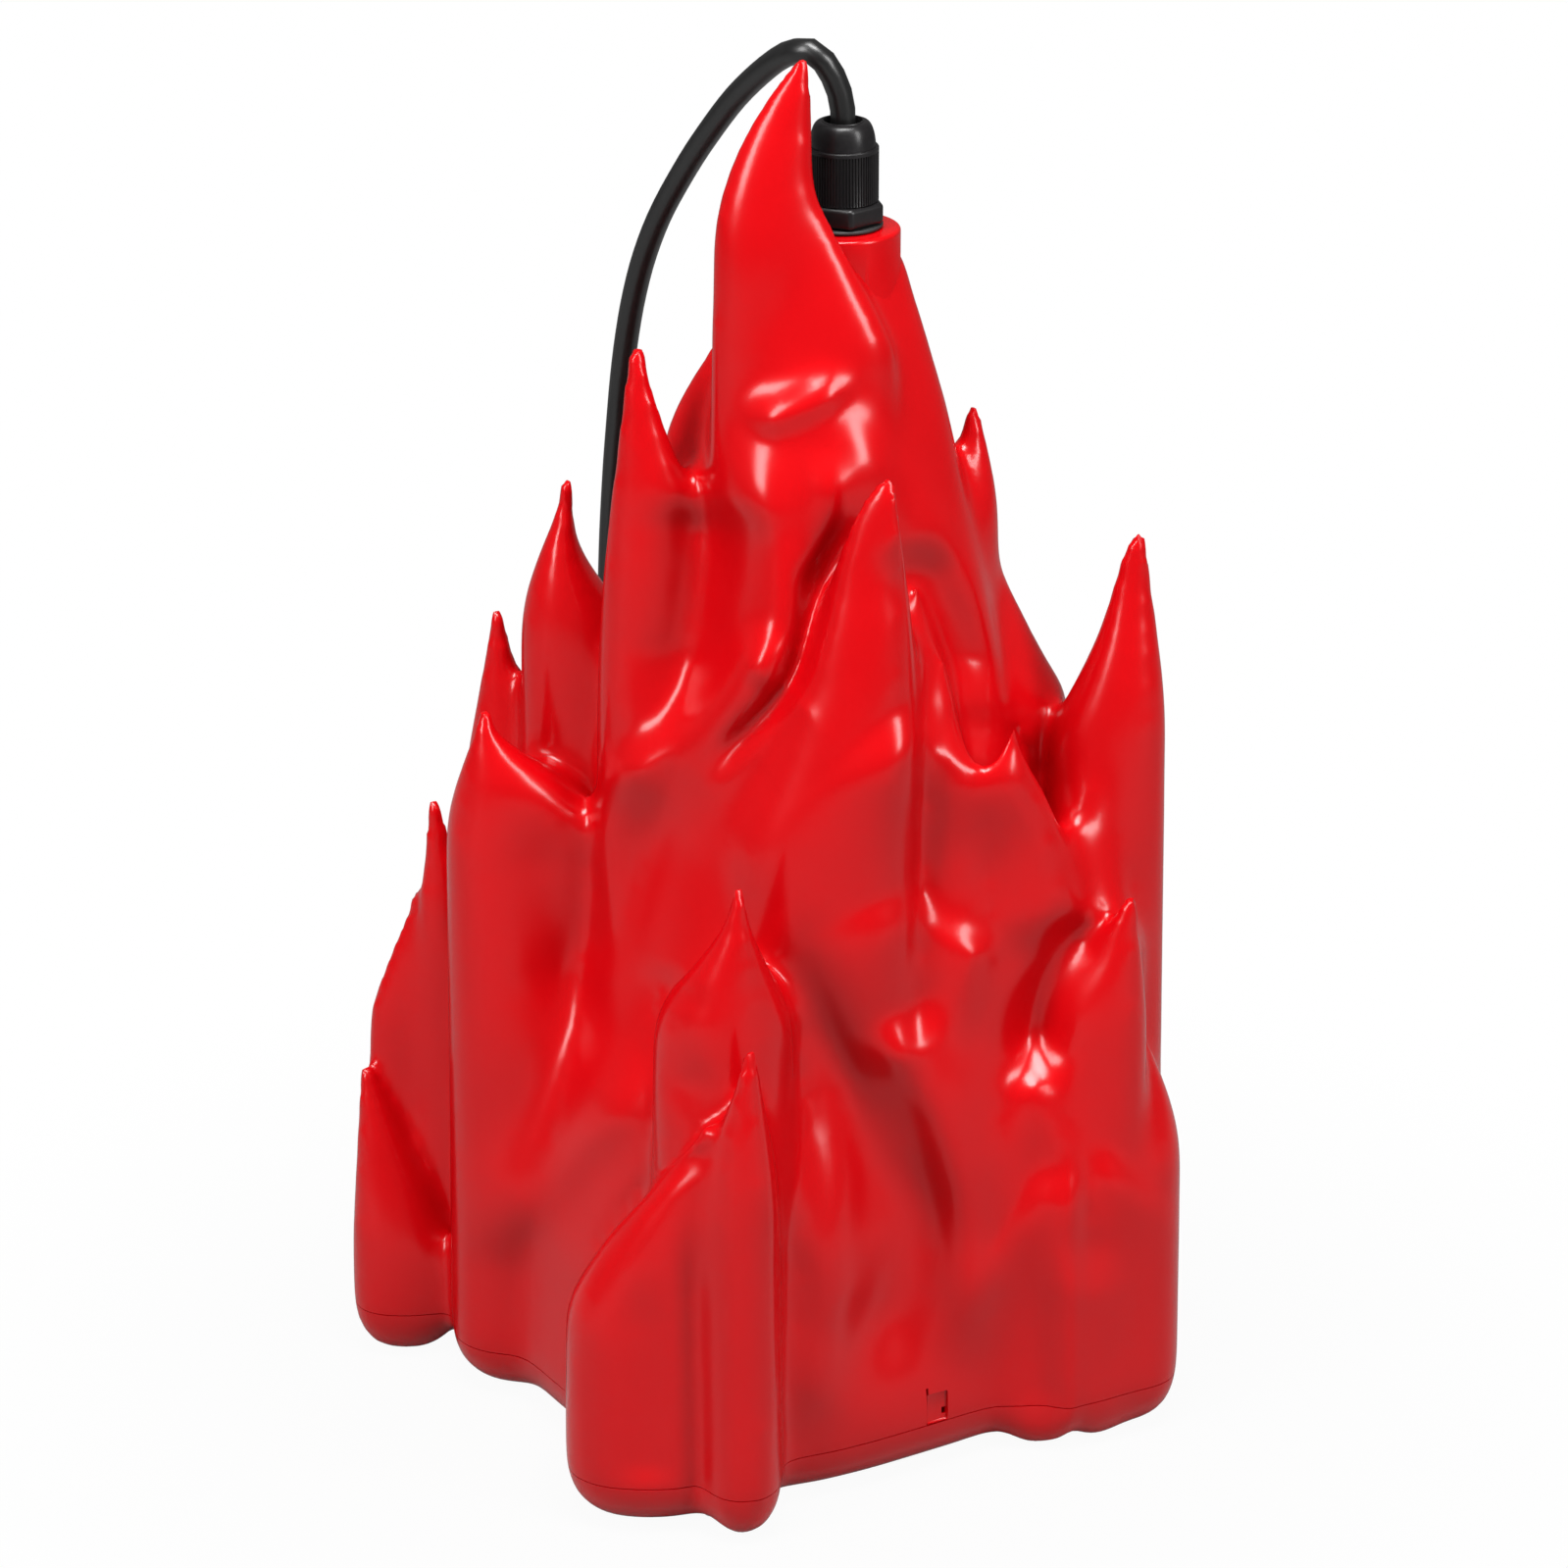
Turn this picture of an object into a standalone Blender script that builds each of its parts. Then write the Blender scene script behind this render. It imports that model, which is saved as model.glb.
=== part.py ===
# Flame effect light: a red moulded cover of flame tongues on a shallow base pan, with a black cable
# gland in the boss behind its crown. Metres, +Z up. The origin is the centre of the pan's underside.
import math

import bmesh
import bpy
import numpy as np
from mathutils import Matrix, Vector

GAP = 0.0003  # clearance between pieces that touch
MM = 0.001  # the flame table and the cord's route are in millimetres

# Cover and pan
SEAM_HEIGHT = 0.015
BOTTOM_RADIUS = 0.015
TRIM = 0.0008  # cut off the softened form's underside, so that it is flat
WALL = 0.0026
DRAFT = 0.012  # inward lean of a wall for each metre of height
TIP_RADIUS = 0.0019
FLAME_TURN = math.radians(58.5)  # the diagonal that the seen flames are drawn across
OUTER_TRIANGLES = 4400
INNER_TRIANGLES = 1300
NOTCH = (0.0048, 0.0086, 0.0011)  # width, height and depth of the catch mark above the seam
NOTCH_Y = 0.009

# Cable boss and gland, all on one upright axis
GLAND_AXIS = Vector((0.0, 0.0188))
BOSS_RADIUS = 0.016
BOSS_TOP = 0.351
BOSS_FOOT = 0.300
BOSS_ROOF = 0.003
BOSS_BORE = 0.0134
THREAD_RADIUS = 0.0076
WASHER_THICKNESS = 0.0010
WASHER_RADIUS = 0.0112
FLANGE_FLATS = 0.0205
FLANGE_HEIGHT = 0.0058
BARREL_HEIGHT = 0.0105
LOCKNUT_FLATS = 0.0220
LOCKNUT_HEIGHT = 0.0050
NUT_RADIUS = 0.0099
NUT_RIBS = 44
NUT_RIB_DEPTH = 0.0004
NUT_SKIRT = 0.0150
NUT_DOME = 0.0072
NUT_MOUTH = 0.0053
SEAL_RADIUS = 0.0052
SLIP_RING_HEIGHT = 0.0012

# Screws
BASE_SCREWS = ((-0.078, -0.083, 0.052), (0.060, -0.060, 0.114), (0.071, 0.068, 0.136),
               (-0.078, 0.076, 0.102))  # place, and height at which each pillar has met the cover
PILLAR_RADIUS = 0.0048
PILOT_TOP = 0.030
SCREW_RADIUS = 0.0016
SCREW_TIP = 0.027
HEAD_RADIUS = 0.0031
HEAD_HEIGHT = 0.0022
HEAD_SEAT = 0.0042

# Light post and boards inside the cover
POST_CENTRE = Vector((-0.004, 0.012))
POST_SIDE = 0.030
POST_HEIGHT = 0.226
POST_WALL = 0.0022
POST_FLANGE = (0.058, 0.036, 0.003)
POST_SCREW_SPACING = 0.046
BOARD = (0.016, 0.190, 0.0016)
DIODES = 8
DIODE = (0.005, 0.005, 0.0014)
DRIVER = (0.044, 0.062, 0.0016)
DRIVER_CENTRE = Vector((-0.040, -0.034))
DRIVER_STANDOFF = 0.006
DRIVER_SCREW_SPACING = 0.050
CAPACITOR = (0.006, 0.014)  # radius and height
TRANSFORMER = (0.018, 0.016, 0.015)
TERMINAL = (0.012, 0.022, 0.014)
TERMINAL_CENTRE = Vector((-0.030, 0.054))

# Cord: hand-chosen route from the gland's seal over the crown and down behind the light
CORD_RADIUS = 0.0035
CORD_ROUTE = ((0, 18.8, 379), (0, 18.8, 386), (-0.1, 18.2, 393), (-0.5, 16.4, 398.6), (-1.8, 13.6, 401.8),
              (-5.5, 10.2, 402.9), (-16.7, 7.4, 398), (-36, 6.4, 383), (-52.6, 6, 365.5), (-66, 5.7, 351),
              (-76.8, 5.5, 337), (-86.3, 5.6, 322.5), (-93, 5.8, 309), (-98, 6, 295.5), (-101.8, 6.2, 283),
              (-104.7, 6.3, 270), (-107.6, 6.4, 250), (-109.6, 6.4, 224), (-110, 6.4, 188), (-110, 6.4, 140),
              (-110, 6.4, 90), (-110, 6.5, 38), (-110, 9.8, 20.2), (-110, 18.8, 9.0), (-110, 30, 5.1))
CORD_STEP = 0.0145
COIL_CENTRE = Vector((-0.1565, 0.048))
COIL_RADIUS = 0.0465
COIL_PITCH = 0.00765
COIL_TURNS = 1.75  # in each of the two layers
COIL_POINTS = 24  # for each turn
COIL_LIFT = 0.0013
TAIL_ROUTE = ((0, 18.8, 345), (0, 18.8, 318), (0.5, 23, 296), (0, 34, 270), (-8, 40, 236),
              (-18, 46, 190), (-26, 51, 140), (-29.5, 53.6, 90), (-30, 54, 50))
TIE_ANGLE = math.radians(215)
TIE_WALL = 0.0009
TIE_WIDTH = 0.006
PLUG = (0.025, 0.036, 0.023)  # width, length and height of the moulded body
PLUG_END_RADIUS = 0.0043
PLUG_NOSE = 0.025
PIN_RADIUS = 0.0020
PIN_LENGTH = 0.0190
PIN_SPACING = 0.0160

# The body under the flames, in millimetres: height, then its left, right, front and back reach
BODY = ((15, -81, 70, -73, 84), (60, -79, 68, -70, 82), (100, -75, 62, -62, 79), (140, -68, 54, -50, 75),
        (180, -60, 46, -40, 71), (215, -50, 40, -33, 64), (250, -38, 34, -27, 57), (280, -30, 29, -22, 50),
        (300, -25, 25, -18, 46), (320, -20, 20, -12, 41), (335, -14, 15, -4, 37), (345, -10, 12, 8, 35))

# How a side of a tongue draws in from its shoulder to its tip: belly and horn, then the share of the
# spire above a skirt with its own belly and horn
SLOPES = {
    "bold": (2.4, 0.95), "full": (1.6, 1.1), "flame": (1.7, 1.9), "cone": (1.1, 1.15), "round": (5.0, 1.0),
    "leaf": (1.8, 1.3), "hook": (2.4, 1.9), "slim": (1.8, 0.85), "scoop": (1.9, 1.4), "saddle": (3.0, 2.7),
    "cleft": (2.0, 4.5), "fin": (2.0, 1.4), "lean": (1.3, 1.1), "dune": (0.8, 0.9),
    "skirt": (6.0, 0.8, 0.36, 1.3, 3.0),
}

# Each tongue, in millimetres: tip, reach to its left, right, near and far side at the shoulder, shoulder
# height and the slope of those four sides. The seen ones lie across FLAME_TURN.
SEEN_TONGUES = {
    "crown": ((6.9, 1.6, 400.7), (25, 4, 12, 6), 343, ("bold", "bold", "full", "full")),
    "crown_skirt": ((9.4, 0, 375), (22, 26, 11, 5), 322, ("cone", "cone", "cone", "cone")),
    "crown_foot": ((11, 0, 338), (24, 26, 19, 16), 288, ("flame", "flame", "full", "flame")),
    "nape": ((-21.9, -7.1, 316), (17, 16, 10, 12), 284, ("full", "full", "full", "full")),
    "front_high": ((-18.4, -35.8, 319.4), (13, 34, 13, 22), 200, ("slim", "scoop", "slim", "flame")),
    "front_left": ((-54.2, -38.7, 270.7), (14, 20, 12, 16), 220, ("hook", "cleft", "hook", "hook")),
    "left_slim": ((-75.4, -50.4, 227), (11, 14, 10, 14), 165, ("leaf", "leaf", "leaf", "leaf")),
    "front_wide": ((-44.8, -71.3, 211.2), (12.5, 30, 13, 26), 170, ("leaf", "saddle", "full", "flame")),
    "left_mid": ((-81.1, -69.3, 170.1), (6, 12, 8, 8), 120, ("full", "full", "full", "flame")),
    "left_low": ((-86.6, -72.4, 140.3), (16, 12, 6, 6), 97, ("fin", "full", "full", "flame")),
    "left_corner": ((-89, -90, 87), (5.5, 24, 15, 6), 30, ("full", "lean", "full", "flame")),
    "near_hook": ((54.9, -48.2, 187.1), (24, 9, 10, 26), 140, ("flame", "bold", "full", "flame")),
    "near_corner": ((73.7, -55.9, 147.5), (13, 8, 8, 22), 96, ("full", "full", "full", "flame")),
    "near_lobe": ((64, -63, 124), (41, 6, 6, 30), 62, ("lean", "full", "full", "flame")),
    "face": ((47, 3.9, 293.9), (44, 9.5, 18, 28), 187, ("skirt", "round", "full", "flame")),
    "face_right": ((58.9, 38.7, 234), (9, 22, 7, 26), 150, ("flame", "flame", "full", "flame")),
    "face_back": ((53, 17.7, 258), (14, 16, 8, 20), 190, ("full", "flame", "full", "flame")),
    "ribbon": ((69, 20, 170), (12, 9, 5, 20), 110, ("flame", "full", "full", "flame")),
    "rear_high": ((8.8, 56.5, 293.8), (14, 8, 12, 10), 262, ("flame", "full", "flame", "full")),
    "rear_fill": ((7, 57, 264), (28, 29, 20, 16), 210, ("cone", "dune", "cone", "cone")),
    "right_spire": ((49.2, 86.1, 262.7), (24, 9, 14, 10), 206, ("fin", "full", "flame", "full")),
    "right_mid": ((76.1, 66.8, 167.1), (19, 6, 8, 14), 128, ("leaf", "full", "full", "flame")),
    "right_low": ((72.7, 38.3, 118.5), (9, 14, 6, 14), 92, ("full", "flame", "full", "flame")),
    "right_corner": ((67, 78, 119), (16, 12.5, 18, 14), 84, ("full", "full", "full", "full")),
}
REAR_TONGUES = {
    "side_1": ((-84, -28, 150), (8, 20, 20, 20), 96, ("full", "flame", "flame", "flame")),
    "side_2": ((-82, 8, 196), (8, 22, 18, 18), 120, ("full", "flame", "flame", "flame")),
    "side_3": ((-80, 44, 158), (9, 20, 18, 20), 92, ("full", "flame", "flame", "flame")),
    "side_corner": ((-80, 78, 112), (9, 22, 20, 11), 70, ("full", "flame", "flame", "full")),
    "rear_1": ((-50, 82, 176), (16, 18, 20, 10), 110, ("flame", "flame", "flame", "full")),
    "rear_2": ((-18, 83, 206), (18, 18, 20, 9), 130, ("flame", "flame", "flame", "full")),
    "rear_3": ((18, 86, 150), (18, 20, 20, 8), 90, ("flame", "flame", "flame", "full")),
    "side_high": ((-56, 40, 236), (9, 18, 18, 18), 160, ("full", "flame", "flame", "flame")),
    "side_top": ((-42, 8, 262), (9, 18, 20, 18), 190, ("full", "flame", "flame", "flame")),
    "rear_top": ((-22, 44, 286), (10, 16, 18, 9), 220, ("full", "flame", "flame", "full")),
}
HANGING = {"crown": 250, "crown_skirt": 240, "crown_foot": 200, "nape": 200}  # foot height inside the body

for stale in list(bpy.data.objects):
    bpy.data.objects.remove(stale, do_unlink=True)

part_collection = bpy.data.collections.new("flame_effect_light")
cutter_collection = bpy.data.collections.new("cutters")
bpy.context.scene.collection.children.link(part_collection)
bpy.context.scene.collection.children.link(cutter_collection)


def material(name, colour, roughness, metallic=0.0):
    made = bpy.data.materials.new(name)
    made.use_nodes = True
    shader = made.node_tree.nodes["Principled BSDF"]
    shader.inputs["Base Color"].default_value = (*colour, 1.0)
    shader.inputs["Roughness"].default_value = roughness
    shader.inputs["Metallic"].default_value = metallic
    return made


RED = material("red_plastic", (0.62, 0.004, 0.008), 0.18)
NYLON = material("black_nylon", (0.012, 0.012, 0.013), 0.35)
RUBBER = material("black_rubber", (0.015, 0.015, 0.015), 0.6)
JACKET = material("cord_jacket", (0.012, 0.012, 0.012), 0.42)
STEEL = material("zinc_steel", (0.55, 0.55, 0.57), 0.35, 1.0)
BRASS = material("nickel_brass", (0.68, 0.62, 0.48), 0.3, 1.0)
POST_WHITE = material("white_plastic", (0.75, 0.75, 0.73), 0.5)
BOARD_GREEN = material("board", (0.02, 0.14, 0.05), 0.5)


# Tools for making pieces

def new_object(name, mesh, finish, collection=part_collection):
    made = bpy.data.objects.new(name, mesh)
    collection.objects.link(made)
    if finish:
        mesh.materials.append(finish)
    return made


def mesh_from(name, bm):
    bmesh.ops.recalc_face_normals(bm, faces=bm.faces)
    mesh = bpy.data.meshes.new(name)
    bm.to_mesh(mesh)
    bm.free()
    return mesh


def evaluated_copy(source):
    bpy.context.view_layer.update()
    return bpy.data.meshes.new_from_object(source.evaluated_get(bpy.context.evaluated_depsgraph_get()))


def shade(piece, angle=35):
    piece.data.shade_smooth()
    piece.data.set_sharp_from_angle(angle=math.radians(angle))


def box_mesh(name, size, centre, bevel=0.0, segments=2):
    bm = bmesh.new()
    bmesh.ops.create_cube(bm, size=1.0)
    bmesh.ops.scale(bm, vec=size, verts=bm.verts)
    if bevel:
        bmesh.ops.bevel(bm, geom=bm.edges, offset=bevel, segments=segments, affect="EDGES", profile=0.5)
    bmesh.ops.translate(bm, vec=centre, verts=bm.verts)
    return mesh_from(name, bm)


def cylinder_mesh(name, radius, bottom, top, centre, sides=32, turn=0.0, bevel=0.0):
    bm = bmesh.new()
    bmesh.ops.create_cone(bm, cap_ends=True, segments=sides, radius1=radius, radius2=radius, depth=top - bottom)
    if bevel:
        rims = [edge for edge in bm.edges if abs(edge.verts[0].co.z - edge.verts[1].co.z) < 1e-6]
        bmesh.ops.bevel(bm, geom=rims, offset=bevel, segments=2, affect="EDGES", profile=0.5)
    bmesh.ops.rotate(bm, cent=(0, 0, 0), matrix=Matrix.Rotation(turn, 3, "Z"), verts=bm.verts)
    bmesh.ops.translate(bm, vec=(centre[0], centre[1], (bottom + top) / 2), verts=bm.verts)
    return mesh_from(name, bm)


def cutter(name, mesh):
    made = new_object(name, mesh, None, cutter_collection)
    made.hide_render = True
    made.display_type = "WIRE"
    return made


def boolean(piece, operation, tool):
    change = piece.modifiers.new(tool.name, "BOOLEAN")
    change.operation = operation
    change.object = tool
    change.solver = "EXACT"


def turned(name, profile, finish, steps=32, collection=part_collection):
    """A closed profile of (radius, height) points, from its top outer corner down and round, turned on
    the gland's axis; the object's origin is on that axis."""
    bm = bmesh.new()
    points = [bm.verts.new((radius, 0.0, height)) for radius, height in profile]
    for first, second in zip(points, points[1:] + points[:1]):
        bm.edges.new((first, second))
    mesh = bpy.data.meshes.new(name)
    bm.to_mesh(mesh)
    bm.free()
    made = new_object(name, mesh, finish, collection)
    made.location = (*GLAND_AXIS, 0.0)
    screw = made.modifiers.new("turn", "SCREW")
    screw.steps = steps
    screw.render_steps = steps
    screw.use_merge_vertices = True
    screw.merge_threshold = 0.00001
    return made


def smooth_route(points, step):
    """Points every step along a smooth curve through the given ones."""
    route = [Vector(point) for point in points]
    route = [route[0] * 2 - route[1]] + route + [route[-1] * 2 - route[-2]]
    dense = []
    for before, start, end, after in zip(route, route[1:], route[2:], route[3:]):
        for k in range(24):
            t = k / 24
            dense.append(0.5 * (2 * start + (end - before) * t
                                + (2 * before - 5 * start + 4 * end - after) * t * t
                                + (3 * start - before - 3 * end + after) * t ** 3))
    dense.append(route[-2])
    along = [0.0]
    for first, second in zip(dense, dense[1:]):
        along.append(along[-1] + (second - first).length)
    count = round(along[-1] / step)
    wanted = np.linspace(0.0, along[-1], count + 1)
    columns = [np.interp(wanted, along, [point[axis] for point in dense]) for axis in range(3)]
    return [Vector(point) for point in zip(*columns)]


def tube(name, points, radius, finish, resolution=2):
    data = bpy.data.curves.new(name, "CURVE")
    data.dimensions = "3D"
    data.bevel_depth = radius
    data.bevel_resolution = resolution
    data.use_fill_caps = True
    spline = data.splines.new("POLY")
    spline.points.add(len(points) - 1)
    for slot, point in zip(spline.points, points):
        slot.co = (*point, 1.0)
    data.materials.append(finish)
    made = bpy.data.objects.new(name, data)
    part_collection.objects.link(made)
    return made


def length_of(points):
    return sum((second - first).length for first, second in zip(points, points[1:]))


# Flame form: every tongue is a loft of level rings that never overhang, so the cover leaves its mould

def draw_in(share, slope):
    belly, horn, *skirt = slope
    width = (1 - share ** belly) ** horn
    if skirt:
        spire_share, belly, horn = skirt
        width = spire_share * width + (1 - spire_share) * (1 - share ** belly) ** horn
    return width


def ring(centre, sizes, turn, height, power, sides):
    """Level superellipse with its own reach to the left, right, near and far side of the centre."""
    left, right, near, far = sizes
    middle = Vector(((right - left) / 2, (far - near) / 2))
    points = []
    for k in range(sides):
        angle = math.tau * k / sides
        cosine, sine = math.cos(angle), math.sin(angle)
        x = middle.x + (left + right) / 2 * math.copysign(abs(cosine) ** (2 / power), cosine)
        y = middle.y + (near + far) / 2 * math.copysign(abs(sine) ** (2 / power), sine)
        points.append((centre[0] + x * math.cos(turn) - y * math.sin(turn),
                       centre[1] + x * math.sin(turn) + y * math.cos(turn), height))
    return points


def loft(bm, rings):
    loops = [[bm.verts.new(point) for point in points] for points in rings]
    count = len(loops[0])
    for lower, upper in zip(loops, loops[1:]):
        for k in range(count):
            bm.faces.new((lower[k], lower[(k + 1) % count], upper[(k + 1) % count], upper[k]))
    bm.faces.new(loops[0][::-1])
    bm.faces.new(loops[-1])


def rounded_foot(sizes, ground, radius):
    """Sizes and heights of the rings of a rounded bottom edge."""
    tightest = 0.85 * min((sizes[0] + sizes[1]) / 2, (sizes[2] + sizes[3]) / 2)
    radius_in = min(radius, tightest)
    for k in range(6):
        angle = math.pi / 2 * k / 5
        inset = radius_in * (1 - math.sin(angle))
        yield [size - inset for size in sizes], ground + radius * (1 - math.cos(angle))


def tongue(bm, tip, turn, reach, shoulder, slopes, foot, inset, ground):
    """One tongue; with an inset, the hollow inside it, that much lower and narrower."""
    reach = [size * MM for size in reach]
    shoulder = shoulder * MM
    top = tip[2] * MM
    centre = (tip[0] * MM, tip[1] * MM)
    seam = SEAM_HEIGHT if foot is None else foot * MM
    draft = DRAFT * (shoulder - seam)
    rings = []

    def put(sizes, height, power):
        sizes = [size - inset for size in sizes]
        if min(sizes[0] + sizes[1], sizes[2] + sizes[3]) > 2 * TIP_RADIUS * 0.5:
            rings.append(ring(centre, sizes, turn, height, power, 28))

    wide = [size + draft for size in reach]
    if foot is None:
        for sizes, height in rounded_foot([size - inset for size in wide], ground, BOTTOM_RADIUS - ground):
            put([size + inset for size in sizes], height, 2.5)
    else:
        put(wide, seam, 2.5)
    for k in range(1, 5):
        put([size - draft * k / 4 for size in wide], seam + (shoulder - seam) * k / 4 - inset, 2.5)
    for k in range(1, 17):
        share = 1 - (1 - k / 16) ** 1.3
        sizes = []
        for size, slope in zip(reach, slopes):
            width = draw_in(share, SLOPES[slope])
            sizes.append(max(TIP_RADIUS + (size - TIP_RADIUS) * width, TIP_RADIUS))
        put(sizes, shoulder + (top - shoulder) * share - inset, 2 + 0.5 * (1 - share))
    if not inset:
        rings.append(ring(centre, [TIP_RADIUS * 0.55] * 4, turn, top + TIP_RADIUS * 0.8, 2, 28))
    loft(bm, rings)


def body_loft(bm, inset, ground):
    rings = []
    for row, (height, left, right, front, back) in enumerate(BODY):
        centre = ((left + right) / 2 * MM, (front + back) / 2 * MM)
        wide = (right - left) / 2 * MM - inset
        deep = (back - front) / 2 * MM - inset
        sizes = [wide, wide, deep, deep]
        if row == 0:
            for foot_sizes, level in rounded_foot(sizes, ground, BOTTOM_RADIUS - ground):
                rings.append(ring(centre, foot_sizes, 0.0, level, 3.2, 56))
        else:
            rings.append(ring(centre, sizes, 0.0, height * MM - inset, 3.2, 56))
    loft(bm, rings)


def flame_form(name, inset, ground, voxel, smooth_rounds, triangles):
    """All tongues and the body as one closed skin with soft valleys, tips kept sharp."""
    bm = bmesh.new()
    body_loft(bm, inset, ground)
    tips = []
    for table, turn in ((SEEN_TONGUES, FLAME_TURN), (REAR_TONGUES, 0.0)):
        for key, (tip, reach, shoulder, slopes) in table.items():
            tongue(bm, tip, turn, reach, shoulder, slopes, HANGING.get(key), inset, ground)
            tips.append(Vector(tip) * MM)
    rough = new_object(name + "_rough", mesh_from(name + "_rough", bm), None, cutter_collection)
    remesh = rough.modifiers.new("unite", "REMESH")
    remesh.mode = "VOXEL"
    remesh.voxel_size = voxel
    form = new_object(name, evaluated_copy(rough), None, cutter_collection)
    bpy.data.objects.remove(rough, do_unlink=True)

    places = np.empty(len(form.data.vertices) * 3)
    form.data.vertices.foreach_get("co", places)
    places = places.reshape(-1, 3)
    distance = np.full(len(places), 1.0)
    for tip in tips:
        offset = places - np.array(tip)
        offset[:, 2] *= 0.55
        distance = np.minimum(distance, np.linalg.norm(offset, axis=1))
    weight = np.clip((distance - 0.003) / 0.016, 0.0, 1.0)
    group = form.vertex_groups.new(name="away_from_tips")
    levels = np.round(weight * 20).astype(int)
    for level in range(1, 21):
        group.add(np.flatnonzero(levels == level).tolist(), level / 20, "REPLACE")
    soften = form.modifiers.new("soften", "SMOOTH")
    soften.factor = 0.5
    soften.iterations = smooth_rounds
    soften.vertex_group = group.name
    settle = form.modifiers.new("settle", "SMOOTH")
    settle.factor = 0.5
    settle.iterations = 2
    thin = form.modifiers.new("thin", "DECIMATE")
    thin.ratio = triangles / (2 * len(form.data.polygons))
    thin.use_collapse_triangulate = True
    made = evaluated_copy(form)
    bpy.data.objects.remove(form, do_unlink=True)
    return made


# Cover and pan, parted at the seam

def cut_form(name, mesh, bottom, top):
    """The flame form between two heights, as a new piece."""
    piece = new_object(name, mesh.copy(), RED)
    slab = cutter(name + "_slab", box_mesh(name + "_slab", (0.4, 0.4, top - bottom), (0, 0, (bottom + top) / 2)))
    boolean(piece, "INTERSECT", slab)
    return piece


outer_form = flame_form("flame_outer", 0.0, -TRIM, 0.0023, 16, OUTER_TRIANGLES)
hollow = cutter("flame_hollow", flame_form("flame_inner", WALL, WALL - TRIM, 0.0036, 4, INNER_TRIANGLES))
floor_slab = cutter("floor_slab", box_mesh("floor_slab", (0.4, 0.4, 0.45), (0, 0, WALL + 0.225)))
boolean(hollow, "INTERSECT", floor_slab)

shell = cut_form("flame_shell", outer_form, SEAM_HEIGHT + GAP / 2, 0.45)
pan = cut_form("base_pan", outer_form, 0.0, SEAM_HEIGHT - GAP / 2)
boss = cutter("boss", cylinder_mesh("boss", BOSS_RADIUS, BOSS_FOOT, BOSS_TOP, GLAND_AXIS, 48, bevel=0.0008))
boolean(shell, "UNION", boss)
boolean(shell, "DIFFERENCE", hollow)
boss_bore = cutter("boss_bore", cylinder_mesh("boss_bore", BOSS_BORE, BOSS_FOOT, BOSS_TOP - BOSS_ROOF,
                                              GLAND_AXIS, 40))
boolean(shell, "DIFFERENCE", boss_bore)
boss_hole = cutter("boss_hole", cylinder_mesh("boss_hole", THREAD_RADIUS + GAP, BOSS_FOOT + 0.02,
                                              BOSS_TOP + 0.01, GLAND_AXIS, 40))
boolean(shell, "DIFFERENCE", boss_hole)
boolean(pan, "DIFFERENCE", hollow)

for index, (*place, pillar_top) in enumerate(BASE_SCREWS, 1):
    upper = cylinder_mesh(f"shell_pillar_{index}", PILLAR_RADIUS, SEAM_HEIGHT + GAP / 2, pillar_top, place, 20)
    boolean(shell, "UNION", cutter(f"shell_pillar_{index}", upper))
    lower = cylinder_mesh(f"pan_pillar_{index}", PILLAR_RADIUS, 0.0012, SEAM_HEIGHT - GAP / 2, place, 20)
    boolean(pan, "UNION", cutter(f"pan_pillar_{index}", lower))
    pilot = cylinder_mesh(f"pilot_{index}", SCREW_RADIUS + GAP, -0.01, PILOT_TOP, place, 12)
    pilot_cutter = cutter(f"pilot_{index}", pilot)
    boolean(shell, "DIFFERENCE", pilot_cutter)
    boolean(pan, "DIFFERENCE", pilot_cutter)
    recess = cylinder_mesh(f"recess_{index}", HEAD_RADIUS + GAP, -0.01, HEAD_SEAT, place, 16)
    boolean(pan, "DIFFERENCE", cutter(f"recess_{index}", recess))

notch_width, notch_height, notch_depth = NOTCH
probe = new_object("outer_probe", outer_form, None, cutter_collection)
_, wall_point, _, _ = probe.ray_cast((0.2, NOTCH_Y, SEAM_HEIGHT + notch_height / 2), (-1, 0, 0))
bpy.data.objects.remove(probe, do_unlink=True)
notch_place = (wall_point.x - notch_depth + 0.008, NOTCH_Y, SEAM_HEIGHT + notch_height / 2)
notch = box_mesh("catch_notch", (0.016, notch_width, notch_height), notch_place)
boolean(shell, "DIFFERENCE", cutter("catch_notch", notch))

# Gland, from the locknut under the boss roof to the domed nut

washer_top = BOSS_TOP + GAP + WASHER_THICKNESS
flange_foot = washer_top + GAP
flange_top = flange_foot + FLANGE_HEIGHT
barrel_top = flange_top + BARREL_HEIGHT
locknut_top = BOSS_TOP - BOSS_ROOF - GAP
locknut_foot = locknut_top - LOCKNUT_HEIGHT
seal_foot = flange_top + 0.001
seal_top = barrel_top - 0.0005
bore = CORD_RADIUS + GAP
seal_bore = SEAL_RADIUS + GAP

turned("gland_washer", ((WASHER_RADIUS, washer_top), (WASHER_RADIUS, washer_top - WASHER_THICKNESS),
                        (THREAD_RADIUS + GAP, washer_top - WASHER_THICKNESS),
                        (THREAD_RADIUS + GAP, washer_top)), RUBBER)

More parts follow.
